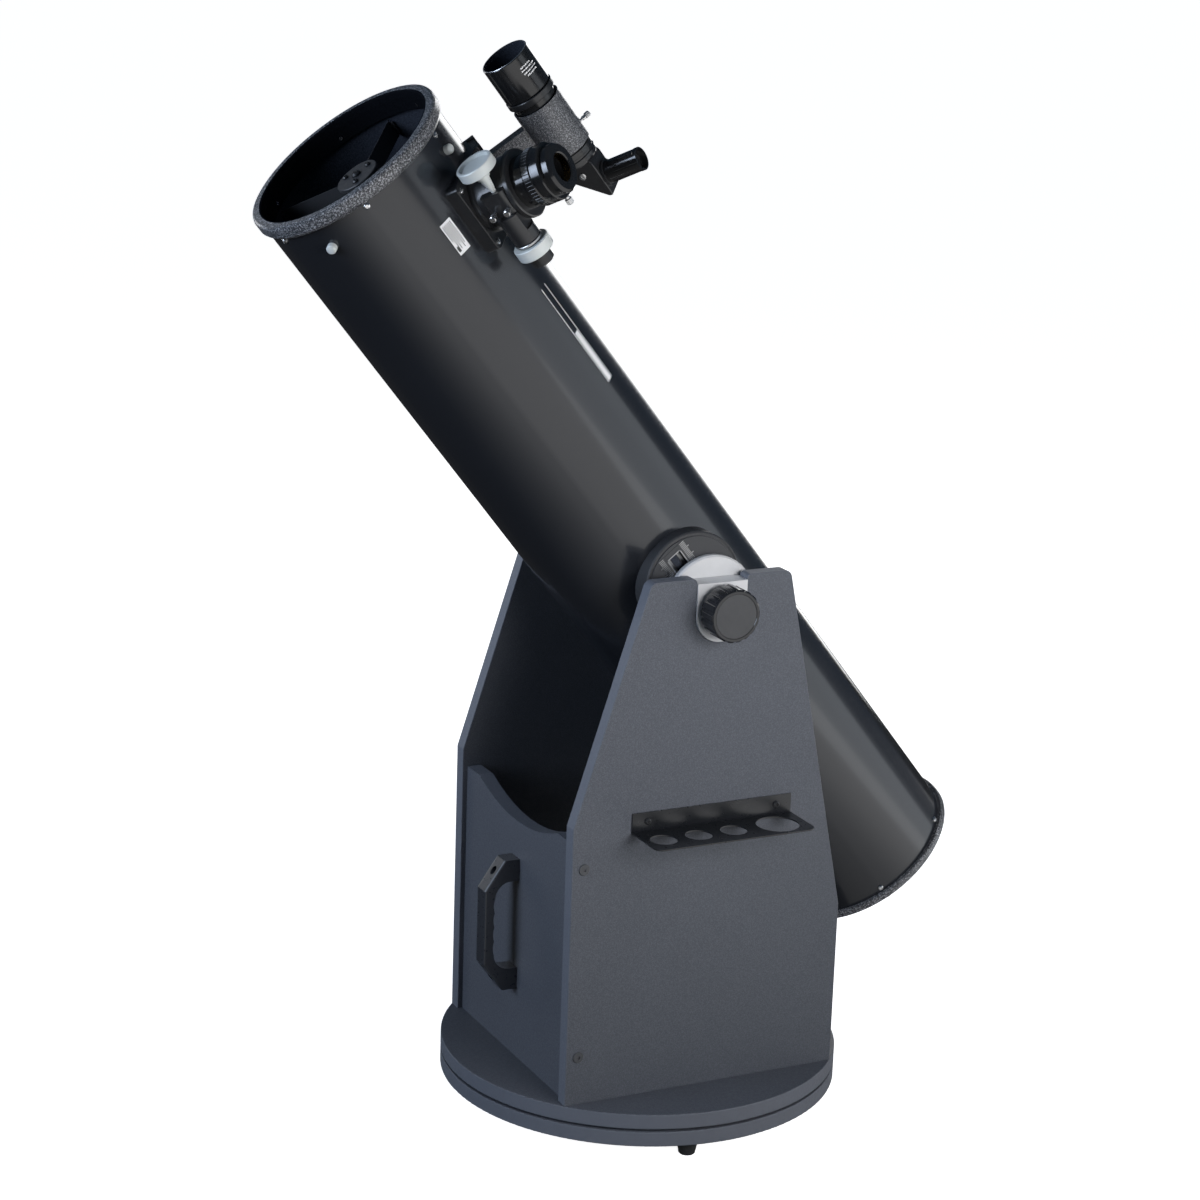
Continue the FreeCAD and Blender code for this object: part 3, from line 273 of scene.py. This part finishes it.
def tube_enamel():
    """Gloss black enamel on rolled steel, with faint orange peel and metallic fleck, flat black inside."""
    s = Shader("tube_enamel", 0.24, Coat_Weight=0.6, Coat_Roughness=0.11)
    fleck = s.ramp(s.noise(2200, 2, 0.7), 0.55, 0.80, grey(0.0105, 0.40), grey(0.016, 0.25))
    s.roughness(s.noise(9, 2), 0.235, 0.265)
    s.bump(s.noise(60, 1), 0.00002, 0.15)
    add_flock(s, s.mix(s.noise(4, 3), fleck, grey(0.0135, 0.35)), PIVOT, TUBE_R - TUBE_WALL / 2)
    return s.material


def slot_black():
    """Matt black of the altitude saddles' slots."""
    s = Shader("flat_black", 0.9, Specular_IOR_Level=0.15)
    s.colour(s.ramp(s.noise(700, 4), 0.35, 0.7, grey(0.018, 0.5), grey(0.044, 0.5)))
    s.bump(s.noise(900, 4), 0.0002, 0.6)
    return s.material


def anodised(name, tone, low, high, bore_r=None):
    """Black anodised aluminium with fine turning marks, flat black inside the finder's bore."""
    s = Shader(name, 0.24, Coat_Weight=0.35, Coat_Roughness=0.14)
    shade = s.mix(s.noise(120, 4), grey(tone, 0.1), grey(tone * 1.45, 0.1))
    s.roughness(s.noise(420, 4), low, high)
    s.bump(s.noise(900, 2), 0.000006, 0.3)
    if bore_r:
        add_flock(s, shade, FINDER_ON, bore_r)
    else:
        s.colour(shade)
    return s.material


def bare_metal(name, tone, low, high, grain=420, warm=(1.0, 1.0, 1.0)):
    """Bare or plated metal with fine grain."""
    s = Shader(name, 0.3, metallic=1.0)
    dark = tuple(tone * 0.90 * w for w in warm)
    light = tuple(min(1.0, tone * 1.04) * w for w in warm)
    s.colour(s.mix(s.noise(90, 4), dark, light))
    s.roughness(s.noise(grain, 4), low, high)
    s.bump(s.noise(grain * 3, 3), 0.00003, 0.5)
    return s.material


def cast_silver():
    """Bead-blasted silver paint on a casting."""
    s = Shader("cast_silver", 0.42, metallic=0.25)
    s.colour(s.mix(s.noise(70, 4), grey(0.50, 0.01), grey(0.58, 0.01)))
    s.roughness(s.noise(500, 3), 0.36, 0.50)
    s.bump(s.noise(1400, 3), 0.00006, 0.5)
    return s.material


def knob_silver():
    """White-silver satin anodising on the focus knobs, with fine turned lines."""
    s = Shader("knob_silver", 0.5, metallic=0.15)
    s.colour(s.mix(s.noise(80, 4), (0.58, 0.61, 0.59), (0.65, 0.68, 0.66)))
    s.roughness(s.noise(600, 3), 0.44, 0.56)
    s.bump(s.noise(1500, 2), 0.00004, 0.4)
    return s.material


def plastic(name, tone, low, high, blue=0.08, texture=1100, depth=0.00005, coat=0.0):
    """Moulded plastic with a faint surface texture."""
    s = Shader(name, low, Coat_Weight=coat, Coat_Roughness=0.1)
    s.colour(s.mix(s.noise(50, 3), grey(tone, blue), grey(tone * 1.25, blue)))
    s.roughness(s.noise(220, 3), low, high)
    s.bump(s.noise(texture, 3), depth, 0.5)
    return s.material


def ivory():
    """Ivory nylon of the collimation knobs."""
    s = Shader("ivory_nylon", 0.45, Subsurface_Weight=0.08)
    s.colour(s.mix(s.noise(60, 4), (0.66, 0.63, 0.50), (0.76, 0.73, 0.60)))
    s.roughness(s.noise(300, 3), 0.38, 0.52)
    s.bump(s.noise(900, 3), 0.00005, 0.4)
    return s.material


def gloss_steel():
    """Gloss black powder coat on the bent steel rack."""
    s = Shader("gloss_black_steel", 0.30, Coat_Weight=0.5, Coat_Roughness=0.26)
    s.colour(s.mix(s.noise(30, 3), grey(0.0060, 0.3), grey(0.009, 0.3)))
    s.roughness(s.noise(160, 3), 0.26, 0.36)
    s.bump(s.noise(260, 3), 0.00005, 0.45)
    return s.material


def mirror_coat():
    """Aluminised mirror face."""
    s = Shader("mirror_coat", 0.02, metallic=1.0)
    s.colour(s.mix(s.noise(12, 2), (0.86, 0.87, 0.88), (0.90, 0.91, 0.92)))
    s.roughness(s.noise(60, 2), 0.01, 0.03)
    return s.material


def coated_glass():
    """Dark lens glass with a faint green-blue coating."""
    s = Shader("coated_glass", 0.03, Coat_Weight=1.0, Coat_Roughness=0.02, IOR=1.52)
    edge = s.node("ShaderNodeLayerWeight")
    edge.inputs["Blend"].default_value = 0.35
    s.colour(s.mix(edge.outputs["Facing"], (0.012, 0.030, 0.034), (0.030, 0.016, 0.045)))
    s.roughness(s.noise(40, 2), 0.02, 0.05)
    return s.material


def label_paper():
    """White vinyl label stock."""
    s = Shader("label_vinyl", 0.35)
    s.colour(s.mix(s.noise(300, 3), grey(0.78), grey(0.86)))
    s.bump(s.noise(1200, 2), 0.00002, 0.4)
    return s.material


def printed(name, tone):
    """Screen-printed ink."""
    s = Shader(name, 0.4)
    s.colour(s.mix(s.noise(900, 3), grey(tone * 0.85), grey(tone)))
    s.bump(s.noise(1500, 2), 0.00002, 0.4)
    return s.material


BOARD_X = laminate("board_laminate_side", "X")
BOARD_Y = laminate("board_laminate_front", "Y")
BOARD_Z = laminate("board_laminate_round", "Z")
# The second tone given to each hammertone is the tone of its painted glints.
HAMMER = hammertone("hammertone_ring", flat_inside=RING_IN_R)
HAMMER_FINE = hammertone("hammertone_bracket", 0.034, 0.32, 620, 0.00016)
SADDLE_BLACK = plastic("saddle_enamel", 0.030, 0.34, 0.48, 0.1, 900, 0.00008)
ENAMEL = tube_enamel()
FLAT = slot_black()
ANODISED = anodised("black_anodised", 0.013, 0.28, 0.38)
ANODISED_GLOSS = anodised("black_anodised_gloss", 0.008, 0.10, 0.18)
SHIELD_BLACK = anodised("dew_shield_black", 0.008, 0.12, 0.20, SHIELD_IN_R)
BARREL_BLACK = anodised("finder_barrel_black", 0.010, 0.14, 0.22, BARREL_IN_R)
CHROME = bare_metal("chrome", 0.92, 0.20, 0.32)
STEEL = bare_metal("plain_steel", 0.46, 0.30, 0.45)
DARK_STEEL = bare_metal("dark_socket_steel", 0.26, 0.30, 0.42)
SATIN = bare_metal("satin_plate", 0.62, 0.28, 0.40, 900)
BRASS = bare_metal("brass", 0.72, 0.16, 0.30, 600, warm=(1.0, 0.76, 0.36))
CAST = cast_silver()
KNOB_SILVER = knob_silver()
HANDLE_PLASTIC = plastic("handle_plastic", 0.024, 0.26, 0.36, 0.3, 700, 0.00004, 0.6)
KNOB_GLOSS = plastic("knob_gloss", 0.010, 0.12, 0.20, 0.2, 700, 0.00003, 0.4)
KNOB_FACE = plastic("knob_face", 0.042, 0.50, 0.60, 0.06, 1500, 0.00008)
RUBBER = plastic("foot_rubber", 0.022, 0.70, 0.85, 0.0, 500, 0.0002)
BLACK_SCREW = plastic("black_oxide_screw", 0.018, 0.28, 0.40, 0.1, 1500, 0.00003)
CAP_GREY = plastic("bolt_cap_enamel", 0.050, 0.34, 0.46, 0.1, 900, 0.00003)
GREY_SATIN = plastic("spider_satin", 0.030, 0.40, 0.52, 0.1)
IVORY = ivory()
RACK_STEEL = gloss_steel()
MIRROR = mirror_coat()
GLASS = coated_glass()
LABEL = label_paper()
INK_PALE = printed("pale_ink", 0.80)
INK_DARK = printed("dark_ink", 0.030)
PLATE_DARK = plastic("scale_plate_enamel", 0.030, 0.30, 0.42, 0.1, 900, 0.00003)

NODE_MATERIALS = {
    BOARD_X: ["side_panel_right", "side_panel_left"],
    BOARD_Y: ["front_panel"],
    BOARD_Z: ["ground_board", "azimuth_board"],
    HAMMER: ["front_ring", "mirror_cell", "mirror_plate"],
    SADDLE_BLACK: ["bearing_saddle_right", "bearing_saddle_left"],
    HAMMER_FINE: ["finder_bracket"],
    ENAMEL: ["tube_shell"],
    ANODISED: ["focuser_base", "focuser_body", "reducer_housing", "finder_shoe",
               "finder_prism_housing", "finder_lock_ring"],
    ANODISED_GLOSS: ["drawtube", "eyepiece_adapter", "finder_eyepiece", "fine_focus_knob"],
    SHIELD_BLACK: ["finder_objective_cell"],
    BARREL_BLACK: ["finder_tube"],
    DARK_STEEL: ["housing_screws"],
    CHROME: ["tube_screws", "eyepiece_thumbscrew", "focus_tension_screw",
             "focus_lock_screw", "finder_thumbscrew_1", "finder_thumbscrew_2", "finder_plunger"],
    STEEL: ["lower_race", "upper_race", "azimuth_bolt", "azimuth_rollers", "board_screws", "bearing_studs"],
    CAST: ["bearing_housing_right", "bearing_housing_left"],
    KNOB_SILVER: ["coarse_focus_knobs", "spider_nuts"],
    KNOB_GLOSS: ["tension_knob_right", "tension_knob_left"],
    HANDLE_PLASTIC: ["front_handle"],
    RUBBER: ["feet"],
    CAP_GREY: ["panel_bolts"],
    BLACK_SCREW: ["black_pan_screws", "secondary_screws"],
    GREY_SATIN: ["spider", "secondary_holder"],
    IVORY: ["collimation_knob_1", "collimation_knob_2", "collimation_knob_3", "mirror_lock_screws"],
    RACK_STEEL: ["eyepiece_rack"],
    MIRROR: ["primary_mirror", "secondary_mirror"],
    GLASS: ["finder_objective_lens"],
    BRASS: ["compression_ring"],
}
for material, names in NODE_MATERIALS.items():
    for name in names:
        NODES[name].data.materials.clear()
        NODES[name].data.materials.append(material)


# ---- Mesh helpers ---------------------------------------------------------------------------------
class Shape:
    """Vertices and faces gathered for one mesh piece, in metres once placed."""

    def __init__(self):
        self.vertices = []
        self.faces = []

    def lathe(self, place, profile, steps):
        """Closed ring round the placement's axis. The profile lists (radius, height) points."""
        count = len(profile)
        for i in range(steps):
            a = 2 * math.pi * i / steps
            for r, h in profile:
                self.vertices.append(place @ Vector((r * math.cos(a), r * math.sin(a), h)))
        for i in range(steps):
            here, beyond = i * count, (i + 1) % steps * count
            for k in range(count):
                after = (k + 1) % count
                self.faces.append((here + k, here + after, beyond + after, beyond + k))
        return self

    def slab(self, place, outline, thickness):
        """Flat plate with its front edge eased in."""
        first, count = len(self.vertices), len(outline)
        middle = sum((Vector(p) for p in outline), Vector((0, 0))) / count
        for height, inset in ((0.0, 0.0), (thickness * 0.7, 0.0), (thickness, thickness * 0.4)):
            for p in outline:
                q = Vector(p)
                q += (middle - q).normalized() * inset
                self.vertices.append(place @ Vector((q.x, q.y, height)))
        for layer in range(2):
            low, high = first + layer * count, first + (layer + 1) * count
            for k in range(count):
                after = (k + 1) % count
                self.faces.append((low + k, low + after, high + after, high + k))
        self.faces.append(tuple(first + k for k in reversed(range(count))))
        self.faces.append(tuple(first + 2 * count + k for k in range(count)))
        return self

    def wrap(self, radius, span, arc, lift, centre=PIVOT, steps=8):
        """Thin patch laid on a tube: its span back from the front ring, its arc in degrees round the tube."""
        first = len(self.vertices)
        for r in (radius - PATCH_ROOT, radius + lift):
            for back in span:
                for k in range(steps + 1):
                    angle = arc[0] + (arc[1] - arc[0]) * k / steps
                    self.vertices.append(centre + outward(angle) * r + AHEAD * (RING_FRONT - back))
        low0, low1, top0, top1 = (first + (steps + 1) * n for n in range(4))
        for k in range(steps):
            self.faces.append((top0 + k, top0 + k + 1, top1 + k + 1, top1 + k))
            self.faces.append((low0 + k, low1 + k, low1 + k + 1, low0 + k + 1))
            self.faces.append((low0 + k, low0 + k + 1, top0 + k + 1, top0 + k))
            self.faces.append((low1 + k, top1 + k, top1 + k + 1, low1 + k + 1))
        self.faces.append((low0, top0, top1, low1))
        self.faces.append((low0 + steps, low1 + steps, top1 + steps, top0 + steps))
        return self


PATCH_ROOT = 0.2 * MM                # how far a wrapped patch starts below the surface it lies on
SMOOTH_DEG = 35


def piece(name, body, material, shape):
    """A mesh piece that rides on a body."""
    mesh = bpy.data.meshes.new(name)
    mesh.from_pydata([tuple(v) for v in shape.vertices], [], shape.faces)
    fix = bmesh.new()
    fix.from_mesh(mesh)
    bmesh.ops.recalc_face_normals(fix, faces=fix.faces)
    fix.to_mesh(mesh)
    fix.free()
    mesh.materials.append(material)
    mesh.shade_smooth()
    mesh.set_sharp_from_angle(angle=math.radians(SMOOTH_DEG))
    made = bpy.data.objects.new(name, mesh)
    bpy.context.scene.collection.objects.link(made)
    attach(made, body)


def rectangle(x0, x1, y0, y1):
    return [(x0, y0), (x1, y0), (x1, y1), (x0, y1)]


def both_ways(low, high):
    """A stretch and its mirror image on the other side of zero."""
    return ((low, high), (-high, -low))


# ---- Altitude bearings: scale plates, ticks, slots and knob faces, in millimetres ------------------
SADDLE_X = 132.0                     # the saddle's face, out from the tube axis
SADDLE_AHEAD = 30.0                  # its middle, ahead of the altitude axis
SADDLE_R = 55.0
PLATE_W, PLATE_T, PLATE_END = 16.5, 0.5, 51.5
SLOT_W, SLOT_END, SLOT_DEPTH = 9.2, 44.0, 6.9
FRAME_GAP = 0.3                      # play between the slot's end and the plate's end strips
FRAME_T = PLATE_T + 0.3              # the bright frame round the slot
TICKS_EACH_WAY, TICK_STEP, TICK_HALF_W = 24, 2.1, 0.42
TICK_FROM, TICK_SHORT, TICK_LONG = 12.6, 19.5, 22.0
TICK_T = PLATE_T + 0.25
FACE_R, FACE_SUNK = 26.0, 0.9


def scale_plate(place):
    """Four strips round the balance slot."""
    end = SLOT_END + FRAME_GAP
    plate = Shape()
    for strip in (rectangle(-PLATE_END, PLATE_END, SLOT_W, PLATE_W),
                  rectangle(-PLATE_END, PLATE_END, -PLATE_W, -SLOT_W),
                  rectangle(end, PLATE_END, -SLOT_W, SLOT_W),
                  rectangle(-PLATE_END, -end, -SLOT_W, SLOT_W)):
        plate.slab(place, strip, PLATE_T)
    return plate


def scale_ticks(place):
    """Thin frame round the slot and a comb of ticks along both of its sides, every fifth one longer."""
    ticks = Shape()
    for low, high in both_ways(SLOT_W + 0.1, SLOT_W + 1.1):
        ticks.slab(place, rectangle(-SLOT_END, SLOT_END, low, high), FRAME_T)
    for end in (-SLOT_END - 1.4, SLOT_END + 0.4):
        ticks.slab(place, rectangle(end, end + 1.0, -SLOT_W, SLOT_W), FRAME_T)
    for k in range(-TICKS_EACH_WAY, TICKS_EACH_WAY + 1):
        along = k * TICK_STEP
        reach = TICK_LONG if k % 5 == 0 else TICK_SHORT
        if abs(along) < math.sqrt(SADDLE_R ** 2 - reach ** 2):
            for low, high in both_ways(TICK_FROM, reach):
                outline = rectangle(along - TICK_HALF_W, along + TICK_HALF_W, low, high)
                ticks.slab(place, outline, TICK_T)
    return ticks


def slot_rails(floor):
    """Two flat rails on the slot's floor."""
    rails = Shape()
    for low, high in both_ways(5.0, 8.8):
        rails.slab(floor, rectangle(-SLOT_END + 1, SLOT_END - 1, low, high), 0.6)
    return rails


def bearing_details(side, word):
    """Scale plate, ticks, slot floor and rails of one saddle."""
    x = RIGHT * side
    origin = PIVOT + x * SADDLE_X * MM + AHEAD * SADDLE_AHEAD * MM
    place = in_mm(basis(origin, AHEAD, x.cross(AHEAD)))
    floor = in_mm(basis(origin - x * SLOT_DEPTH * MM, AHEAD, x.cross(AHEAD)))
    groove = Shape().slab(floor, rectangle(-SLOT_END + 2, SLOT_END - 1, -3.9, 3.9), 0.3)
    piece("scale_plate_" + word, "tube", PLATE_DARK, scale_plate(place))
    piece("scale_ticks_" + word, "tube", SATIN, scale_ticks(place))
    piece("slot_groove_" + word, "tube", FLAT, groove)
    piece("slot_rails_" + word, "tube", STEEL, slot_rails(floor))


def knob_face(side, word):
    """Matt disc let into the front of a tension knob."""
    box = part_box("tension_knob_" + word)
    tip = max(abs(box[0].x), abs(box[1].x))
    x = RIGHT * side
    origin = PIVOT + x * (tip - FACE_SUNK * MM)
    place = in_mm(basis(origin, AHEAD, x.cross(AHEAD)))
    profile = [(0.01, 0), (FACE_R - 0.4, 0), (FACE_R, 0.25), (FACE_R - 0.4, 0.6), (20, 0.75), (0.01, 0.8)]
    disc = Shape().lathe(place, profile, 72)
    piece("tension_knob_face_" + word, "tension_knob_" + word, KNOB_FACE, disc)


for side, word in ((1, "right"), (-1, "left")):
    bearing_details(side, word)
    knob_face(side, word)


# ---- Tube: seam, label and pinstripes, in metres and degrees ---------------------------------------
SEAM_SPAN, SEAM_ARC = (0.030, 1.120), (222.0, 226.0)
LABEL_SPAN, LABEL_ARC = (0.0930, 0.1345), (75.2, 83.2)
RULE_BACK, RULE_ANGLE, RULE_STEP, RULE_WIDTH = 0.0960, 76.4, 1.1, 0.42
RULE_LENGTHS = (0.030, 0.034, 0.026, 0.033, 0.029, 0.020)
STAMP_SPAN, STAMP_ARC = (0.1240, 0.1310), (81.0, 82.6)
STRIPE_SPAN, STRIPE_ANGLES, STRIPE_WIDTH = (0.238, 0.378), (47.0, 52.6), 0.5
BAR_SPAN, BAR_ARC = (0.306, 0.378), (48.2, 51.9)
INK_LIFT = 0.12 * MM
RULE_LIFT = 0.30 * MM                # clear of the label that it is printed on


def label_rules():
    """Plain rules and a small stamp on the blank label."""
    rules = Shape()
    for row, length in enumerate(RULE_LENGTHS):
        angle = RULE_ANGLE + row * RULE_STEP
        span, arc = (RULE_BACK, RULE_BACK + length), (angle, angle + RULE_WIDTH)
        rules.wrap(TUBE_R, span, arc, RULE_LIFT, steps=2)
    return rules.wrap(TUBE_R, STAMP_SPAN, STAMP_ARC, RULE_LIFT, steps=2)


def tube_pinstripes():
    """Two long stripes along the tube and a broader bar between their rear ends."""
    stripes = Shape()
    for angle in STRIPE_ANGLES:
        stripes.wrap(TUBE_R, STRIPE_SPAN, (angle, angle + STRIPE_WIDTH), INK_LIFT, steps=2)
    return stripes.wrap(TUBE_R, BAR_SPAN, BAR_ARC, INK_LIFT, steps=4)


piece("tube_seam", "tube", ENAMEL, Shape().wrap(TUBE_R, SEAM_SPAN, SEAM_ARC, 0.4 * MM))
piece("blank_label", "tube", LABEL, Shape().wrap(TUBE_R, LABEL_SPAN, LABEL_ARC, 0.16 * MM))
piece("label_rules", "tube", INK_DARK, label_rules())
piece("tube_pinstripes", "tube", INK_PALE, tube_pinstripes())


# ---- Focuser: bright ring and set screws, in millimetres -------------------------------------------
FOCUSER_MOUTH = Vector(MOUNTS["eyepiece_bore"]["pos_m"])
FOCUSER_ROOT = FOCUSER_MOUTH - FOCUS_OUT * (FOCUSER_MOUTH - PIVOT).dot(FOCUS_OUT)
SHAFT_Y, SHAFT_H = 33.1, 155.5
RING_X = -47.3
RING_BORE, RING_R, RING_T = 15.1, 16.5, 2.9


def focuser_point(x, y, h):
    """Point in the focuser's own frame: to its front, across it, and out from the tube axis."""
    return FOCUSER_ROOT + AHEAD * x * MM + FOCUS_SIDE * y * MM + FOCUS_OUT * h * MM


def reducer_ring():
    """Bright ring round the rear of the reducer housing."""
    place = in_mm(basis(focuser_point(RING_X, SHAFT_Y, SHAFT_H), FOCUS_OUT, FOCUS_SIDE))
    profile = [(RING_BORE, 0.0), (RING_R - 0.4, 0.0), (RING_R, 0.4), (RING_R, RING_T - 0.5),
               (RING_R - 0.4, RING_T), (RING_BORE, RING_T)]
    return Shape().lathe(place, profile, 72)


def socket_screw(name, origin, out, radius, height):
    """Low domed chrome screw head with a round socket."""
    across = out.orthogonal().normalized()
    place = in_mm(basis(origin, across, out.cross(across)))
    profile = [(0.01, -0.6), (radius, -0.6), (radius, height * 0.55), (radius * 0.72, height),
               (radius * 0.36, height), (radius * 0.30, height * 0.3), (0.01, height * 0.25)]
    piece(name, "tube", CHROME, Shape().lathe(place, profile, 36))


piece("reducer_bright_ring", "tube", SATIN, reducer_ring())
socket_screw("body_set_screw_1", focuser_point(9.0, 34.6, 125.6), FOCUS_SIDE, 2.6, 1.4)
socket_screw("body_set_screw_2", focuser_point(27.0, 26.5, 112.5), FOCUS_SIDE, 2.0, 1.2)


# ---- Finder: bright rim, dashes and prism cap screws ----------------------------------------------
SHIELD_R = 28.3 * MM
DASH_LENGTH, DASH_LIFT = 1.5 * MM, 0.2 * MM
DASH_STEP, DASH_ARC = 11.0, 9.4      # degrees round the dew shield
DASH_ROWS = ((12.2, 62.0, 3), (16.0, 52.0, 4), (19.8, 50.0, 4), (23.6, 56.0, 3))
PRISM_BACK, PRISM_OUT = 182.2 * MM, 3.3 * MM
PRISM_HALF_W = 16.0 * MM


def finder_rim():
    """Bright rounded edge of the dew shield, in millimetres."""
    place = in_mm(basis(FINDER_AXIS + AHEAD * FINDER_FRONT, TUBE_UP, RIGHT))
    profile = [(26.5, -0.4), (27.6, -0.4), (27.9, -0.1), (27.6, 0.25), (26.9, 0.3), (26.5, 0.1)]
    return Shape().lathe(place, profile, 96)


def finder_dashes():
    """Rows of dashes printed on the dew shield: millimetres back, first angle and count of each row."""
    dashes = Shape()
    for back, start, count in DASH_ROWS:
        front = RING_FRONT - FINDER_FRONT + back * MM
        for k in range(count):
            angle = start + k * DASH_STEP
            dashes.wrap(SHIELD_R, (front, front + DASH_LENGTH), (angle, angle + DASH_ARC), DASH_LIFT,
                        FINDER_AXIS, 3)
    return dashes


piece("finder_rim", "finder_objective", SATIN, finder_rim())
piece("finder_dashes", "finder_objective", INK_PALE, finder_dashes())
prism_middle = FINDER_AXIS + AHEAD * (RING_FRONT - PRISM_BACK) + FOCUS_OUT * PRISM_OUT
for way, word in ((1, "right"), (-1, "left")):
    out = FOCUS_SIDE * way
    socket_screw("prism_cap_screw_" + word, prism_middle + out * PRISM_HALF_W, out, 4.2, 1.2)


# ---- Floor, light and camera ----------------------------------------------------------------------
CAMERA_AT = Vector((3.1501, -1.6543, 1.6059))
CAMERA_TURN, CAMERA_TILT, CAMERA_ROLL = 63.34, 15.55, 1.96      # degrees
LENS_MM, SENSOR_MM = 92.45, 36.0
FLOOR_HALF = 30.0
FLOOR_GLOW, FLOOR_BOUNCE = 0.97, 0.14
SHEEN_TOWARDS = (0.9, 0.45, 0.0)     # the floor's sheen grows this way across it
SHEEN = {"From Min": -0.4, "From Max": 1.7, "To Min": 0.02, "To Max": 1.0}
COOL = (0.84, 0.98, 1.22)


def floor_sheen(s):
    """Light that the floor gives to shiny surfaces, brighter towards one side."""
    across = s.node("ShaderNodeVectorMath", operation="DOT_PRODUCT")
    across.inputs[1].default_value = SHEEN_TOWARDS
    s.links.new(s.place, across.inputs[0])
    sheen = s.node("ShaderNodeMapRange", interpolation_type="SMOOTHSTEP")
    for key, value in SHEEN.items():
        sheen.inputs[key].default_value = value
    s.links.new(across.outputs["Value"], sheen.inputs["Value"])
    shine = s.node("ShaderNodeEmission")
    s.links.new(sheen.outputs["Result"], shine.inputs["Strength"])
    return shine.outputs["Emission"]


def floor_material():
    """Pale where the camera sees it, and dim where it would light the object from below."""
    s = Shader("studio_floor", 0.6)
    s.colour(s.mix(s.noise(0.8, 2), grey(0.84), grey(0.87)))
    s.principled.inputs["Emission Color"].default_value = (1, 1, 1, 1)
    s.principled.inputs["Emission Strength"].default_value = FLOOR_GLOW
    dim = s.node("ShaderNodeBsdfDiffuse")
    dim.inputs["Color"].default_value = (*grey(FLOOR_BOUNCE), 1)
    path = s.node("ShaderNodeLightPath")
    unseen = s.node("ShaderNodeMixShader")
    s.links.new(path.outputs["Is Glossy Ray"], unseen.inputs["Fac"])
    s.links.new(dim.outputs["BSDF"], unseen.inputs[1])
    s.links.new(floor_sheen(s), unseen.inputs[2])
    mixer = s.node("ShaderNodeMixShader")
    s.links.new(path.outputs["Is Camera Ray"], mixer.inputs["Fac"])
    s.links.new(unseen.outputs["Shader"], mixer.inputs[1])
    s.links.new(s.principled.outputs["BSDF"], mixer.inputs[2])
    s.links.new(mixer.outputs["Shader"], s.nodes["Material Output"].inputs["Surface"])
    return s.material


def add_floor():
    """Plain pale studio floor."""
    mesh = bpy.data.meshes.new("studio_floor")
    corners = rectangle(-FLOOR_HALF, FLOOR_HALF, -FLOOR_HALF, FLOOR_HALF)
    mesh.from_pydata([(x, y, 0) for x, y in corners], [], [(0, 1, 2, 3)])
    mesh.materials.append(floor_material())
    floor = bpy.data.objects.new("studio_floor", mesh)
    bpy.context.scene.collection.objects.link(floor)


def add_light(name, turn, height, distance, size, radiance,
              colour=(1, 1, 1), spread=180, aim=0.65, mirrored=True):
    """Rectangular soft box: turned from the front of the base towards +X, and aimed at a height there."""
    a = math.radians(turn)
    at = Vector((math.sin(a) * distance, -math.cos(a) * distance, height))
    data = bpy.data.lights.new(name, "AREA")
    data.shape = "RECTANGLE"
    data.size, data.size_y = size
    data.energy = radiance * math.pi * size[0] * size[1]
    data.color = colour
    data.spread = math.radians(spread)
    light = bpy.data.objects.new(name, data)
    light.location = at
    light.rotation_euler = (Vector((0, 0, aim)) - at).to_track_quat("-Z", "Y").to_euler()
    light.visible_camera = False
    light.visible_glossy = mirrored
    bpy.context.scene.collection.objects.link(light)


def add_world(camera_tone, light_tone):
    """Even surround: pale where the camera sees it, dimmer where it lights the object."""
    world = bpy.data.worlds.new("studio")
    bpy.context.scene.world = world
    world.use_nodes = True
    nodes, links = world.node_tree.nodes, world.node_tree.links
    background = nodes["Background"]
    background.inputs["Color"].default_value = (*light_tone, 1)
    seen = nodes.new("ShaderNodeBackground")
    seen.inputs["Color"].default_value = (*grey(camera_tone), 1)
    mixer = nodes.new("ShaderNodeMixShader")
    path = nodes.new("ShaderNodeLightPath")
    links.new(path.outputs["Is Camera Ray"], mixer.inputs["Fac"])
    links.new(background.outputs["Background"], mixer.inputs[1])
    links.new(seen.outputs["Background"], mixer.inputs[2])
    links.new(mixer.outputs["Shader"], nodes["World Output"].inputs["Surface"])


def add_camera():
    """Camera above and to the front right, looking down on the telescope."""
    data = bpy.data.cameras.new("camera")
    data.lens, data.sensor_width = LENS_MM, SENSOR_MM
    camera = bpy.data.objects.new("camera", data)
    turn = Matrix.Rotation(math.radians(CAMERA_TURN), 4, "Z")
    tilt = Matrix.Rotation(math.radians(90 - CAMERA_TILT), 4, "X")
    roll = Matrix.Rotation(math.radians(CAMERA_ROLL), 4, "Z")
    camera.matrix_world = Matrix.Translation(CAMERA_AT) @ turn @ tilt @ roll
    bpy.context.scene.collection.objects.link(camera)
    bpy.context.scene.camera = camera


add_floor()
add_light("key_softbox", turn=104, height=1.15, distance=2.0, size=(1.6, 1.0), radiance=1.90,
          colour=(1, 1, 1.02), spread=70, aim=0.64, mirrored=False)
add_light("side_softbox", turn=150, height=0.8, distance=3.4, size=(3.4, 2.6), radiance=0.80,
          colour=(0.94, 1.0, 1.06))
add_light("front_softbox", turn=0, height=1.3, distance=2.6, size=(1.6, 1.4), radiance=1.35,
          colour=COOL, spread=70, aim=0.8)
add_light("top_softbox", turn=0, height=4.0, distance=0.3, size=(3.0, 3.0), radiance=0.05)
add_light("back_softbox", turn=230, height=0.9, distance=3.8, size=(1.4, 2.4), radiance=3.0)
add_light("edge_softbox", turn=292, height=1.0, distance=3.6, size=(0.7, 3.4), radiance=2.6)
add_world(1.0, (0.025, 0.04, 0.06))
add_camera()
bpy.context.scene.view_settings.view_transform = "Standard"
